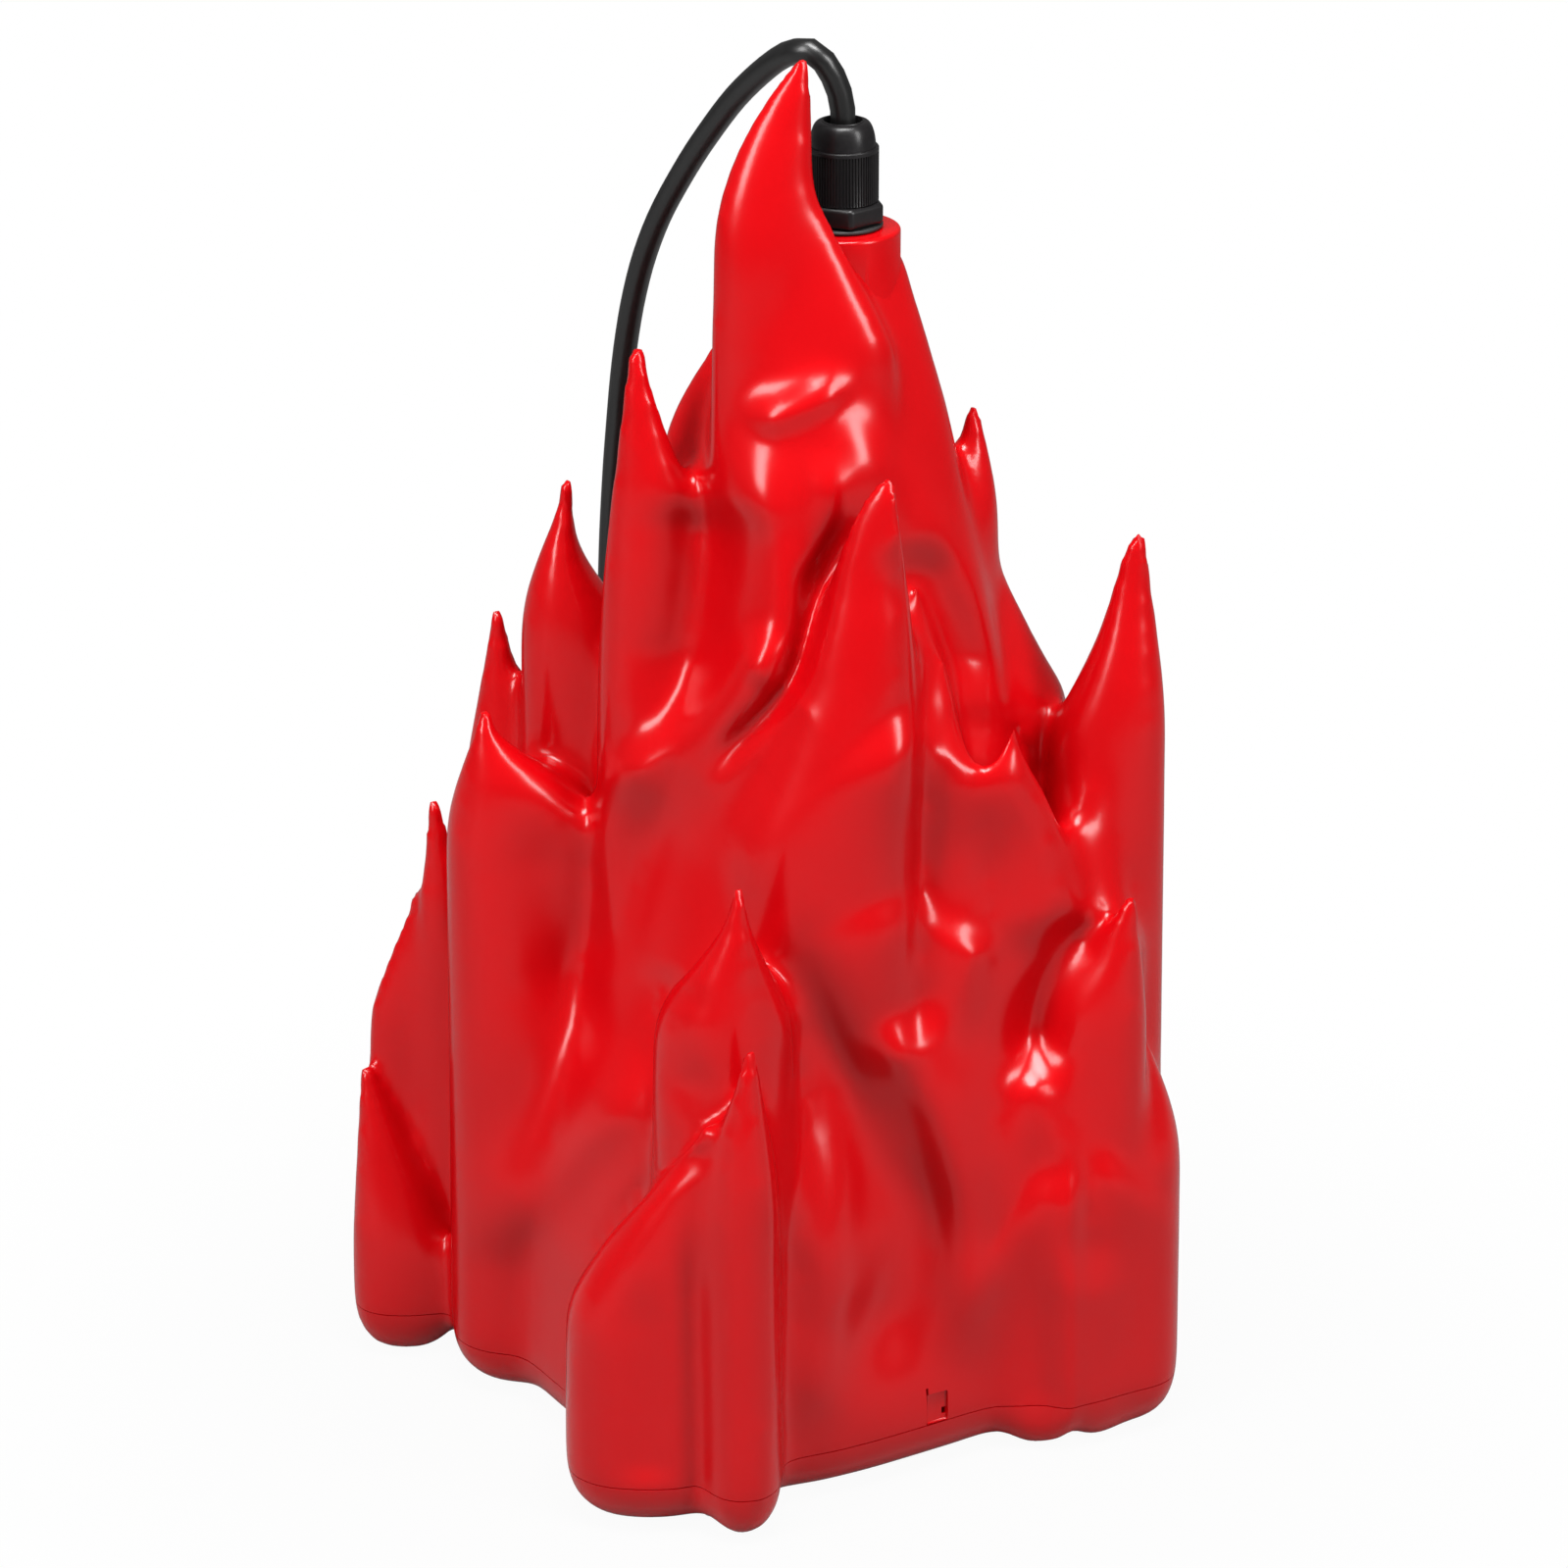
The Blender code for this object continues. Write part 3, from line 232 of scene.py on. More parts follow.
# Plug: a moulded two-pin plug with a grooved grip and a tapered, grooved neck, black like the lead. Its pins
# are plated brass with rounded ends.

GAP = 0.0003
GRIP_WIDTH = 0.0246
GRIP_HEIGHT = 0.0226
GRIP_MIDDLE = 0.0115
GRIP_WAIST = 0.10
GRIP_GROOVE_PITCH = 0.0035
NECK_SEEN = 0.025
NECK_LENGTH = 0.029
NECK_GROOVES = 5
NECK_GROOVE_PITCH = 0.0038
PIN_SIDE = 0.008
PIN_RADIUS = 0.002
plug_low, plug_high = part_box("plug_body")
plug_x = lead_end[0]
plug_z = lead_end[2]
neck_start = lead_end[1] + GAP
body_start = neck_start + NECK_SEEN
body_end = plug_high[1]


def clean_start():
    """Leave edit mode and let go of every object."""
    if bpy.context.object and bpy.context.object.mode != "OBJECT":
        bpy.ops.object.mode_set(mode="OBJECT")
    bpy.ops.object.select_all(action="DESELECT")


def keep_as(name):
    """Name the object just made, and put its place into its mesh."""
    made = bpy.context.object
    made.name = name
    made.data.name = name
    bpy.ops.object.transform_apply(location=True, rotation=True, scale=True)
    return made


def bevel_edges(made, width, segments, angle=40):
    """Round over the edges that are sharper than an angle in degrees."""
    bevel = made.modifiers.new("bevel", "BEVEL")
    bevel.width = width
    bevel.segments = segments
    bevel.limit_method = "ANGLE"
    bevel.angle_limit = math.radians(angle)
    apply_modifiers(made)


def apply_modifiers(made):
    """Work all modifiers into the mesh."""
    clean_start()
    bpy.context.view_layer.objects.active = made
    made.select_set(True)
    for modifier in list(made.modifiers):
        bpy.ops.object.modifier_apply(modifier=modifier.name)


def cut(made, operation, tool, solver="EXACT"):
    """Join, cut or keep the common part of two closed pieces, and throw the tool away."""
    change = made.modifiers.new("change", "BOOLEAN")
    change.operation = operation
    change.object = tool
    change.solver = solver
    apply_modifiers(made)
    bpy.data.objects.remove(tool, do_unlink=True)


def round_over(made, angle=35):
    """Shade smooth, apart from the edges that are sharper than an angle in degrees."""
    clean_start()
    bpy.context.view_layer.objects.active = made
    made.select_set(True)
    bpy.ops.object.shade_smooth_by_angle(angle=math.radians(angle))


def finish_piece(made, material, body, slot, *replaced):
    """Give a piece its material and its body, and hide the nodes that it stands for. The slot is not used."""
    made.data.materials.clear()
    made.data.materials.append(material)
    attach(made, body)
    if replaced:
        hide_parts(*replaced)


def block(name, size, centre):
    """A box of a size round its centre."""
    clean_start()
    bpy.ops.mesh.primitive_cube_add(size=1, location=centre, scale=size)
    return keep_as(name)


def rod(name, radius, bottom, top, place, sides=48):
    """An upright cylinder."""
    clean_start()
    bpy.ops.mesh.primitive_cylinder_add(vertices=sides, radius=radius, depth=top - bottom,
                                        location=(place[0], place[1], (bottom + top) / 2))
    return keep_as(name)


def lying_rod(name, radius, start, end, side, sides):
    """A cylinder that lies along the plug, on one side of its middle."""
    clean_start()
    bpy.ops.mesh.primitive_cylinder_add(vertices=sides, radius=radius, depth=end - start,
                                        location=(plug_x + side * PIN_SIDE, (start + end) / 2, plug_z),
                                        rotation=(math.pi / 2, 0, 0))
    return keep_as(name)


plug = block("plug_grip", (GRIP_WIDTH, body_end - body_start, GRIP_HEIGHT),
             (plug_x, (body_start + body_end) / 2, plug_low[2] + GRIP_MIDDLE))
bpy.ops.object.mode_set(mode="EDIT")
bpy.ops.mesh.select_all(action="SELECT")
bpy.ops.mesh.subdivide(number_cuts=10)
bpy.ops.object.mode_set(mode="OBJECT")
for vertex in plug.data.vertices:
    along = (vertex.co.y - body_start) / (body_end - body_start)
    waist = 1 - GRIP_WAIST * math.sin(math.pi * min(1, along * 1.6)) ** 2
    vertex.co.x = plug_x + (vertex.co.x - plug_x) * waist
bevel_edges(plug, 0.0032, 4)
clean_start()
bpy.ops.mesh.primitive_cone_add(vertices=48, radius1=0.0043, radius2=0.0071, depth=NECK_LENGTH,
                                location=(plug_x, neck_start + NECK_LENGTH / 2, plug_z),
                                rotation=(-math.pi / 2, 0, 0))
neck = keep_as("plug_neck")
for groove in range(NECK_GROOVES):
    place = neck_start + 0.005 + NECK_GROOVE_PITCH * groove
    clean_start()
    bpy.ops.mesh.primitive_torus_add(major_radius=0.0054 + 0.00035 * groove, minor_radius=0.0006,
                                     major_segments=48, minor_segments=10,
                                     location=(plug_x, place, plug_z), rotation=(math.pi / 2, 0, 0))
    cut(neck, "DIFFERENCE", keep_as("neck_groove"))
cut(plug, "UNION", neck)
for side in (-1, 1):
    for groove in range(4):
        spot = (plug_x + side * 0.01205, body_start + 0.010 + GRIP_GROOVE_PITCH * groove)
        cut(plug, "DIFFERENCE", rod("grip_groove", 0.0009, plug_z - 0.0065, plug_z + 0.0065, spot, 16))
for side in (-1, 1):
    cut(plug, "DIFFERENCE", lying_rod("pin_hole", 0.0024, body_end - 0.006, body_end + 0.014, side, 24))
round_over(plug)
nylon = grained("plug_plastic", (0.018, 0.018, 0.018), (0.012, 0.012, 0.012), roughness=0.48, swing=0.15,
                scale=900, bump=0.3, size=0.0001)
finish_piece(plug, nylon, "light", "black_nylon", "plug_body")

brass = grained("plated_brass", (0.66, 0.62, 0.50), (0.50, 0.46, 0.36), roughness=0.26, swing=0.12, scale=500,
                stretch=(1, 0.1, 1), metallic=1.0)
for index, side in enumerate((-1, 1), 1):
    pin_low, pin_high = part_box(f"plug_pin_{index}")
    pin = lying_rod(f"pin_{index}", PIN_RADIUS, pin_low[1], pin_high[1], side, 32)
    bevel_edges(pin, 0.0008, 4)
    round_over(pin)
    finish_piece(pin, brass, "light", "nickel_brass", f"plug_pin_{index}")

# Tie: a flat rubber strap round the coil's turns. The solid's form is kept, and its edges and corners are
# eased.

tie = nodes["cord_tie"].copy()
tie.data = nodes["cord_tie"].data.copy()
tie.name = "tie_strap"
tie.parent = None
for key in list(tie.keys()):
    del tie[key]
bpy.context.scene.collection.objects.link(tie)
clean_start()
bpy.context.view_layer.objects.active = tie
tie.select_set(True)
bpy.ops.object.mode_set(mode="EDIT")
bpy.ops.mesh.select_all(action="SELECT")
bpy.ops.mesh.remove_doubles(threshold=0.00001)
bpy.ops.mesh.dissolve_limited(angle_limit=0.02)
bpy.ops.object.mode_set(mode="OBJECT")
bevel_edges(tie, 0.0003, 2, 60)
round_over(tie)
rubber = grained("strap_rubber", (0.014, 0.014, 0.014), (0.008, 0.008, 0.008), roughness=0.62, swing=0.1,
                 scale=700, bump=0.3)
finish_piece(tie, rubber, "light", "black_rubber", "cord_tie")

# Studio: a plain white floor that keeps the light's shadow, a large soft lamp high on the left, a weaker one
# on the right and a top light.

FLOOR_SIZE = 14
MIRRORED_SHARE = 0.05
AIR_STRENGTH = 0.12

# name, then how far right, up and towards the viewer, width, height and power
LAMPS = (("left_softbox", -1.1, 0.50, 0.95, 0.5, 1.0, 27), ("right_softbox", 1.15, 0.45, 0.85, 0.4, 0.9, 20),
         ("top_softbox", 0.05, 1.25, 0.45, 0.75, 0.5, 34))


def seen_share(tree):
    """1 where the background is looked at straight or through glass, less where it is mirrored."""
    ray = tree.nodes.new("ShaderNodeLightPath")
    mirrored = tree.nodes.new("ShaderNodeMath")
    mirrored.operation = "MULTIPLY_ADD"
    mirrored.inputs[1].default_value = MIRRORED_SHARE
    tree.links.new(ray.outputs["Is Glossy Ray"], mirrored.inputs[0])
    tree.links.new(ray.outputs["Is Camera Ray"], mirrored.inputs[2])
    either = tree.nodes.new("ShaderNodeMath")
    either.operation = "MAXIMUM"
    tree.links.new(mirrored.outputs[0], either.inputs[0])
    tree.links.new(ray.outputs["Is Transmission Ray"], either.inputs[1])
    return either.outputs[0]


clean_start()
bpy.ops.mesh.primitive_plane_add(size=FLOOR_SIZE, location=(0, 0, -0.0002))
floor = keep_as("studio_floor")
floor_material, tree, shader = new_material("studio_white", (0.25, 0.25, 0.25), roughness=0.8)
glow = tree.nodes.new("ShaderNodeEmission")
glow.inputs["Color"].default_value = (1, 1, 1, 1)
place = tree.nodes.new("ShaderNodeTexCoord")
away = tree.nodes.new("ShaderNodeVectorMath")
away.operation = "LENGTH"
whiter = tree.nodes.new("ShaderNodeMapRange")
whiter.interpolation_type = "SMOOTHSTEP"
for label, value in (("From Min", 0.08), ("From Max", 0.34), ("To Min", 0.95), ("To Max", 1.0)):
    whiter.inputs[label].default_value = value
share = tree.nodes.new("ShaderNodeMath")
share.operation = "MULTIPLY"
blend = tree.nodes.new("ShaderNodeMixShader")
tree.links.new(place.outputs["Object"], away.inputs[0])
tree.links.new(away.outputs["Value"], whiter.inputs["Value"])
tree.links.new(whiter.outputs["Result"], share.inputs[0])
tree.links.new(seen_share(tree), share.inputs[1])
tree.links.new(share.outputs[0], blend.inputs["Fac"])
tree.links.new(shader.outputs["BSDF"], blend.inputs[1])
tree.links.new(glow.outputs["Emission"], blend.inputs[2])
tree.links.new(blend.outputs["Shader"], tree.nodes["Material Output"].inputs["Surface"])
floor.data.materials.append(floor_material)

world = bpy.data.worlds.new("studio_air")
bpy.context.scene.world = world
world.use_nodes = True
tree = world.node_tree
air = tree.nodes["Background"]
air.inputs["Color"].default_value = (1, 1, 1, 1)
air.inputs["Strength"].default_value = AIR_STRENGTH
backdrop = tree.nodes.new("ShaderNodeBackground")
backdrop.inputs["Color"].default_value = (1, 1, 1, 1)
backdrop.inputs["Strength"].default_value = 1.0
blend = tree.nodes.new("ShaderNodeMixShader")
tree.links.new(seen_share(tree), blend.inputs["Fac"])
tree.links.new(air.outputs["Background"], blend.inputs[1])
tree.links.new(backdrop.outputs["Background"], blend.inputs[2])
tree.links.new(blend.outputs["Shader"], tree.nodes["World Output"].inputs["Surface"])
bpy.context.scene.view_settings.view_transform = "Standard"

for name, across, up, near, width, height, power in LAMPS:
    lamp_data = bpy.data.lights.new(name, "AREA")
    lamp_data.shape = "RECTANGLE"
    lamp_data.size = width
    lamp_data.size_y = height
    lamp_data.energy = power
    lamp = bpy.data.objects.new(name, lamp_data)
    bpy.context.scene.collection.objects.link(lamp)
    lamp.location = MIDDLE + RIGHTWARD * across + Vector((0, 0, up)) + TO_VIEWER * near
    lamp.rotation_euler = (MIDDLE - lamp.location).to_track_quat("-Z", "Y").to_euler()

# Flame cover and pan: one glossy red moulding, 2.6 mm thick and drawn upwards out of its mould, and a shallow
# pan under its seam. The tongues are columns with drawn-in tips on a common body, run together with soft
# valleys, and the flow of the flames between them is carved over that.

SEAM_HEIGHT = 0.015
TRIM = 0.0008
WALL = 0.0026
DRAFT = 0.012
TIP_RADIUS = 0.0019
ROUND_EDGE = 0.015
TONGUE_SQUARENESS = 2.5
BODY_SQUARENESS = 3.2
FOOT_RINGS = 6
SHAFT_RINGS = 4
TIP_RINGS = 24
SIDES = 48

# height, then how far the body reaches left, right, forwards and back, in millimetres
BODY = ((15, -81, 70, -73, 84), (60, -79, 68, -70, 82), (100, -75, 62, -62, 79), (140, -68, 54, -50, 75),
        (180, -60, 46, -40, 71), (215, -50, 40, -33, 64), (250, -38, 34, -27, 57), (280, -30, 29, -22, 50),
        (300, -25, 25, -18, 46), (320, -20, 20, -12, 41), (335, -14, 15, -4, 37), (345, -10, 12, 8, 35))

# how a side of a tongue draws in from shoulder to tip: belly and horn, and for a skirt then the spire's share
# of the width and a belly and horn for the rest
SLOPES = {
    "bold": (2.4, 0.95), "full": (1.6, 1.1), "flame": (1.7, 1.9), "cone": (1.1, 1.15), "round": (5.0, 1.0),
    "leaf": (1.8, 1.3), "hook": (2.4, 1.9), "slim": (1.8, 0.85), "scoop": (1.9, 1.4), "saddle": (3.0, 2.7),
    "cleft": (2.0, 4.5), "fin": (2.0, 1.4), "lean": (1.3, 1.1), "dune": (0.8, 0.9),
    "skirt": (6.0, 0.8, 0.36, 1.3, 3.0), "slim_skirt": (6.0, 0.8, 0.27, 1.3, 2.7),
}

# tip, reach to the left, right, near and far side at the shoulder, shoulder height, and those sides' slopes,
# in millimetres
SEEN_TONGUES = {
    "crown": ((6.9, 1.6, 400.7), (25, 4, 12, 6), 343, ("bold", "bold", "full", "full")),
    "crown_skirt": ((9.4, 0, 375), (22, 26, 11, 5), 322, ("cone", "cone", "cone", "cone")),
    "crown_foot": ((11, 0, 338), (24, 26, 19, 16), 288, ("flame", "flame", "full", "flame")),
    "nape": ((-21.9, -7.1, 316), (17, 16, 10, 12), 284, ("full", "full", "full", "full")),
    "front_high": ((-18.4, -35.8, 319.4), (13, 34, 13, 22), 200, ("slim", "scoop", "slim", "flame")),
    "front_left": ((-54.2, -38.7, 270.7), (14, 20, 12, 16), 220, ("hook", "cleft", "hook", "hook")),
    "left_slim": ((-75.4, -50.4, 227), (11, 14, 10, 14), 165, ("leaf", "leaf", "leaf", "leaf")),
    "front_wide": ((-44.8, -71.3, 211.2), (12.5, 30, 13, 26), 170, ("leaf", "saddle", "full", "flame")),
    "left_mid": ((-81.1, -69.3, 170.1), (6, 12, 8, 8), 120, ("full", "full", "full", "flame")),
    "left_low": ((-86.6, -72.4, 140.3), (16, 12, 6, 6), 97, ("fin", "full", "full", "flame")),
    "left_corner": ((-89, -90, 87), (5.5, 26, 18, 6), 30, ("full", "lean", "full", "flame")),
    "near_hook": ((54.9, -48.2, 187.1), (24, 15, 10, 26), 140, ("flame", "flame", "full", "flame")),
    "near_corner": ((73.7, -55.9, 147.5), (13, 8, 8, 22), 96, ("full", "full", "full", "flame")),
    "near_lobe": ((64, -63, 124), (41, 6, 6, 30), 62, ("lean", "full", "full", "flame")),
    "face": ((47, 3.9, 293.9), (44, 9.5, 18, 28), 187, ("skirt", "round", "full", "flame")),
    "face_right": ((58.9, 38.7, 226), (12, 22, 7, 26), 150, ("round", "full", "cone", "flame")),
    "bowl_foot": ((49, 23.5, 240), (14, 17, 14, 20), 145, ("cone", "cone", "cone", "flame")),
    "spire_foot": ((57, 66, 196), (24, 16, 16, 20), 150, ("dune", "dune", "cone", "cone")),
    "bowl_ramp": ((39, 19, 262), (12, 26, 22, 14), 120, ("cone", "full", "cone", "cone")),
    "rear_high": ((8.8, 56.5, 293.8), (14, 8, 12, 10), 262, ("flame", "full", "flame", "full")),
    "rear_fill": ((7, 57, 264), (28, 29, 20, 16), 210, ("cone", "dune", "cone", "cone")),
    "right_spire": ((49.2, 86.1, 262.7), (24, 9, 14, 10), 206, ("slim_skirt", "full", "flame", "full")),
    "right_mid": ((76.1, 66.8, 167.1), (19, 6, 8, 14), 128, ("leaf", "full", "full", "flame")),
    "right_low": ((72.7, 38.3, 118.5), (9, 14, 6, 14), 92, ("full", "flame", "full", "flame")),
    "right_corner": ((67, 78, 119), (16, 12.5, 18, 14), 84, ("full", "full", "full", "full")),
}
REAR_TONGUES = {
    "side_1": ((-84, -28, 150), (8, 20, 20, 20), 96, ("full", "flame", "flame", "flame")),
    "side_2": ((-82, 8, 196), (8, 22, 18, 18), 120, ("full", "flame", "flame", "flame")),
    "side_3": ((-80, 44, 158), (9, 20, 18, 20), 92, ("full", "flame", "flame", "flame")),
    "side_corner": ((-80, 78, 112), (9, 22, 20, 11), 70, ("full", "flame", "flame", "full")),
    "rear_1": ((-50, 82, 176), (16, 18, 20, 10), 110, ("flame", "flame", "flame", "full")),
    "rear_2": ((-18, 83, 206), (18, 18, 20, 9), 130, ("flame", "flame", "flame", "full")),
    "rear_3": ((18, 86, 150), (18, 20, 20, 8), 90, ("flame", "flame", "flame", "full")),
    "side_high": ((-56, 40, 236), (9, 18, 18, 18), 160, ("full", "flame", "flame", "flame")),
    "side_top": ((-42, 8, 262), (9, 18, 20, 18), 190, ("full", "flame", "flame", "flame")),
    "rear_top": ((-22, 44, 286), (10, 16, 18, 9), 220, ("full", "flame", "flame", "full")),
}
HANGING = {"crown": 250, "crown_skirt": 240, "crown_foot": 200, "nape": 200}
RUBBED = ("bowl_foot", "bowl_ramp", "face_right", "right_low", "spire_foot")
BLUNT = ("crown_skirt", "crown_foot", "rear_fill", *RUBBED)

# carved ridges and hollows, drawn as seen from the corner, in millimetres from the light's middle: height,
# width on the right and left of a way down, fade at both ends, way
CARVING = {
    "hollow_under_scoop": (-7, 10, 16, (0.2, 0.35), (
        (-17, 83), (-19, 67), (-22, 50), (-27, 30), (-37, 12))),
    "broad_ridge": (4, 10, 10, (0.3, 0.2), ((-8, 97), (-4, 78), (-1, 58), (-1, 42), (-11, 30))),
    "sill": (7, 16, 5, (0.2, 0.3), ((2, 44), (-8, 37), (-18, 25), (-30, 14), (-44, 3), (-55, -8))),
    "crown_flare": (3.5, 5, 6, (0.3, 0.3), ((-12, 100), (-7, 104), (4, 108), (14, 112), (22, 110))),
    "face_shoulder": (3, 6, 6, (0.3, 0.3), ((11, 96), (13, 83), (12, 69), (7, 55))),
    "face_channel": (-5, 2.5, 6, (0.2, 0.2), ((20, 79), (13, 60), (8, 40), (-1, 24), (-14, 10), (-22, 0))),
    "boss_ridge": (4.5, 6, 14, (0.35, 0.35), (
        (29, 117), (33, 100), (37, 84), (43, 72), (53, 57), (60, 43), (64, 31), (67, 17), (66, 0),
        (66, -22))),
    "bowl": (-6, 10, 10, (0.3, 0.25), ((35, 72), (42, 55), (49, 39), (52, 22))),
    "bowl_rise": (6, 7, 22, (0.3, 0.3), ((32, 22), (43, 10), (56, 8), (65, 15))),
    "bowl_sill": (3.5, 5, 24, (0.3, 0.3), ((33, -28), (40, -40), (52, -47), (64, -52))),
    "curling_valley": (-8, 14, 13, (0.35, 0.2), (
        (-7, -42), (0, -58), (9, -78), (23, -105), (35, -127), (33, -145), (22, -161), (11, -175))),
    "soft_tongue": (7, 12, 9, (0.12, 0.3), (
        (29, -64), (38, -78), (47, -97), (53, -122), (52, -147), (43, -167))),
    "hook_flank": (3, 5, 5, (0.2, 0.3), ((-3, -52), (4, -72), (13, -95), (17, -117), (15, -139))),
    "mid_valley": (-7, 7, 7, (0.25, 0.25), ((87, -35), (79, -52), (72, -70), (70, -89))),
    "notch_shadow": (-3, 9, 9, (0.3, 0.3), ((68, -36), (70, -56), (71, -72), (77, -86))),
    "valley_bank": (5, 9, 9, (0.3, 0.3), (
        (-3, -92), (3, -111), (12, -136), (13, -153), (8, -172), (3, -189))),
    "side_valley": (-5, 9, 9, (0.25, 0.2), ((70, -86), (72, -111), (70, -139), (72, -167), (75, -195))),
    "lobe_flute": (-2.2, 4, 4, (0.3, 0.1), ((-28, -122), (-26, -147), (-25, -178), (-24, -207))),
    "lobe_facet": (-1.6, 7, 7, (0.3, 0.1), ((-42, -136), (-40, -167), (-39, -200))),
    "low_shelf": (3, 8, 20, (0.25, 0.25), ((67, -115), (77, -121), (87, -117), (98, -105))),
    "side_column": (4, 8, 8, (0.25, 0.15), ((86, -128), (86, -150), (85, -172), (86, -195))),
    "wide_rim": (3, 6, 5, (0.2, 0.3), ((-55, 0), (-53, -17), (-50, -36), (-52, -56), (-55, -72))),
    "wide_hollow": (-6, 12, 16, (0.35, 0.35), ((-71, 3), (-69, -22), (-65, -50), (-55, -81))),
    "lobe_lip": (-2.5, 3, 3, (0.2, 0.3), ((-18, -102), (-28, -108), (-39, -115), (-48, -126), (-55, -139))),
    "leaning_tongue": (7, 10, 12, (0.25, 0.35), (
        (-37, -77), (-48, -88), (-62, -102), (-75, -121), (-79, -139))),
    "hook_shadow": (-3, 8, 8, (0.2, 0.3), ((-28, -52), (-34, -67), (-30, -83), (-22, -97))),
}


def draw_in(share, slope):
    """The share of its width that a tongue's side keeps at a share of the way to its tip."""
    belly, horn, *skirt = slope
    width = (1 - share ** belly) ** horn
    if skirt:
        spire_share, belly, horn = skirt
        width = spire_share * width + (1 - spire_share) * (1 - share ** belly) ** horn
    return width


def foot_rings(sizes, ground):
    """Sizes and heights of the rings of the rounded bottom edge."""
    radius = ROUND_EDGE - ground
    tightest = 0.85 * min((sizes[0] + sizes[1]) / 2, (sizes[2] + sizes[3]) / 2)
    for k in range(FOOT_RINGS):
        angle = math.pi / 2 * k / (FOOT_RINGS - 1)
        inset = min(radius, tightest) * (1 - math.sin(angle))
        level = ground + radius * (1 - math.cos(angle))
        yield [size - inset for size in sizes], level, TONGUE_SQUARENESS


def tongue_rings(tip, reach, shoulder, slopes, foot, inset, ground):
    """Sizes, heights and squareness of a tongue's level rings, from its foot to its tip."""
    reach = [size * MM for size in reach]
    shoulder = shoulder * MM
    top = tip[2] * MM
    start = SEAM_HEIGHT if foot is None else foot * MM
    draft = DRAFT * (shoulder - start)
    wide = [size + draft - inset for size in reach]
    if foot is None:
        yield from foot_rings(wide, ground)
    else:
        yield wide, start, TONGUE_SQUARENESS
    for k in range(1, SHAFT_RINGS + 1):
        level = start + (shoulder - start) * k / SHAFT_RINGS - inset
        yield [size - draft * k / SHAFT_RINGS for size in wide], level, TONGUE_SQUARENESS
    for k in range(1, TIP_RINGS + 1):
        share = 1 - (1 - k / TIP_RINGS) ** 1.3
        sizes = [TIP_RADIUS + (size - TIP_RADIUS) * draw_in(share, SLOPES[slope]) - inset
                 for size, slope in zip(reach, slopes)]
        if min(sizes[0] + sizes[1], sizes[2] + sizes[3]) > TIP_RADIUS:
            yield sizes, shoulder + (top - shoulder) * share - inset, 2 + 0.5 * (1 - share)
    if not inset:
        yield [TIP_RADIUS * 0.55] * 4, top + TIP_RADIUS * 0.8, 2


def column(name, centre, turn, rings, sides):
    """A column of level rings: a disc is extruded ring by ring, then each ring is drawn to its own size."""
    rings = list(rings)
    clean_start()
    bpy.ops.mesh.primitive_circle_add(vertices=sides, radius=1, fill_type="NGON")
    bpy.ops.object.mode_set(mode="EDIT")
    for _ in rings[1:]:
        bpy.ops.mesh.extrude_region_move(TRANSFORM_OT_translate={"value": (0, 0, 1)})
    bpy.ops.mesh.select_all(action="SELECT")
    bpy.ops.mesh.normals_make_consistent(inside=False)
    bpy.ops.object.mode_set(mode="OBJECT")
    made = bpy.context.object
    made.name = name
    places = np.empty(len(made.data.vertices) * 3)
    made.data.vertices.foreach_get("co", places)
    places = places.reshape(-1, 3)
    level = np.round(places[:, 2]).astype(int)
    angle = np.arctan2(places[:, 1], places[:, 0])
    left, right, near, far = np.array([ring[0] for ring in rings])[level].T
    height = np.array([ring[1] for ring in rings])[level]
    power = np.array([ring[2] for ring in rings])[level]
    cosine, sine = np.cos(angle), np.sin(angle)
    x = (right - left) / 2 + (left + right) / 2 * np.sign(cosine) * abs(cosine) ** (2 / power)
    y = (far - near) / 2 + (near + far) / 2 * np.sign(sine) * abs(sine) ** (2 / power)
    places = np.stack((centre[0] + x * math.cos(turn) - y * math.sin(turn),
                       centre[1] + x * math.sin(turn) + y * math.cos(turn), height), axis=1)
    made.data.vertices.foreach_set("co", places.ravel())
    return made


def body_rings(inset, ground):
    """Sizes, heights and squareness of the body's level rings."""
    for row, (height, left, right, front, back) in enumerate(BODY):
        wide = (right - left) / 2 * MM - inset
        deep = (back - front) / 2 * MM - inset
        shift_x = (left + right) / 2 * MM
        shift_y = (front + back) / 2 * MM
        sizes = [wide - shift_x, wide + shift_x, deep - shift_y, deep + shift_y]
        if row == 0:
            for foot_sizes, level, _ in foot_rings(sizes, ground):
                yield foot_sizes, level, BODY_SQUARENESS
        else:
            yield sizes, height * MM - inset, BODY_SQUARENESS


def corner_view(places):
    """Where places are seen from the corner, across and up in millimetres, and how near they are."""
    offset = places - np.array(MIDDLE)
    near = offset @ np.array(TO_VIEWER)
    scale = DISTANCE / (DISTANCE - near) / MM
    return offset @ np.array(RIGHTWARD) * scale, offset @ np.array(UPWARD) * scale, near / MM


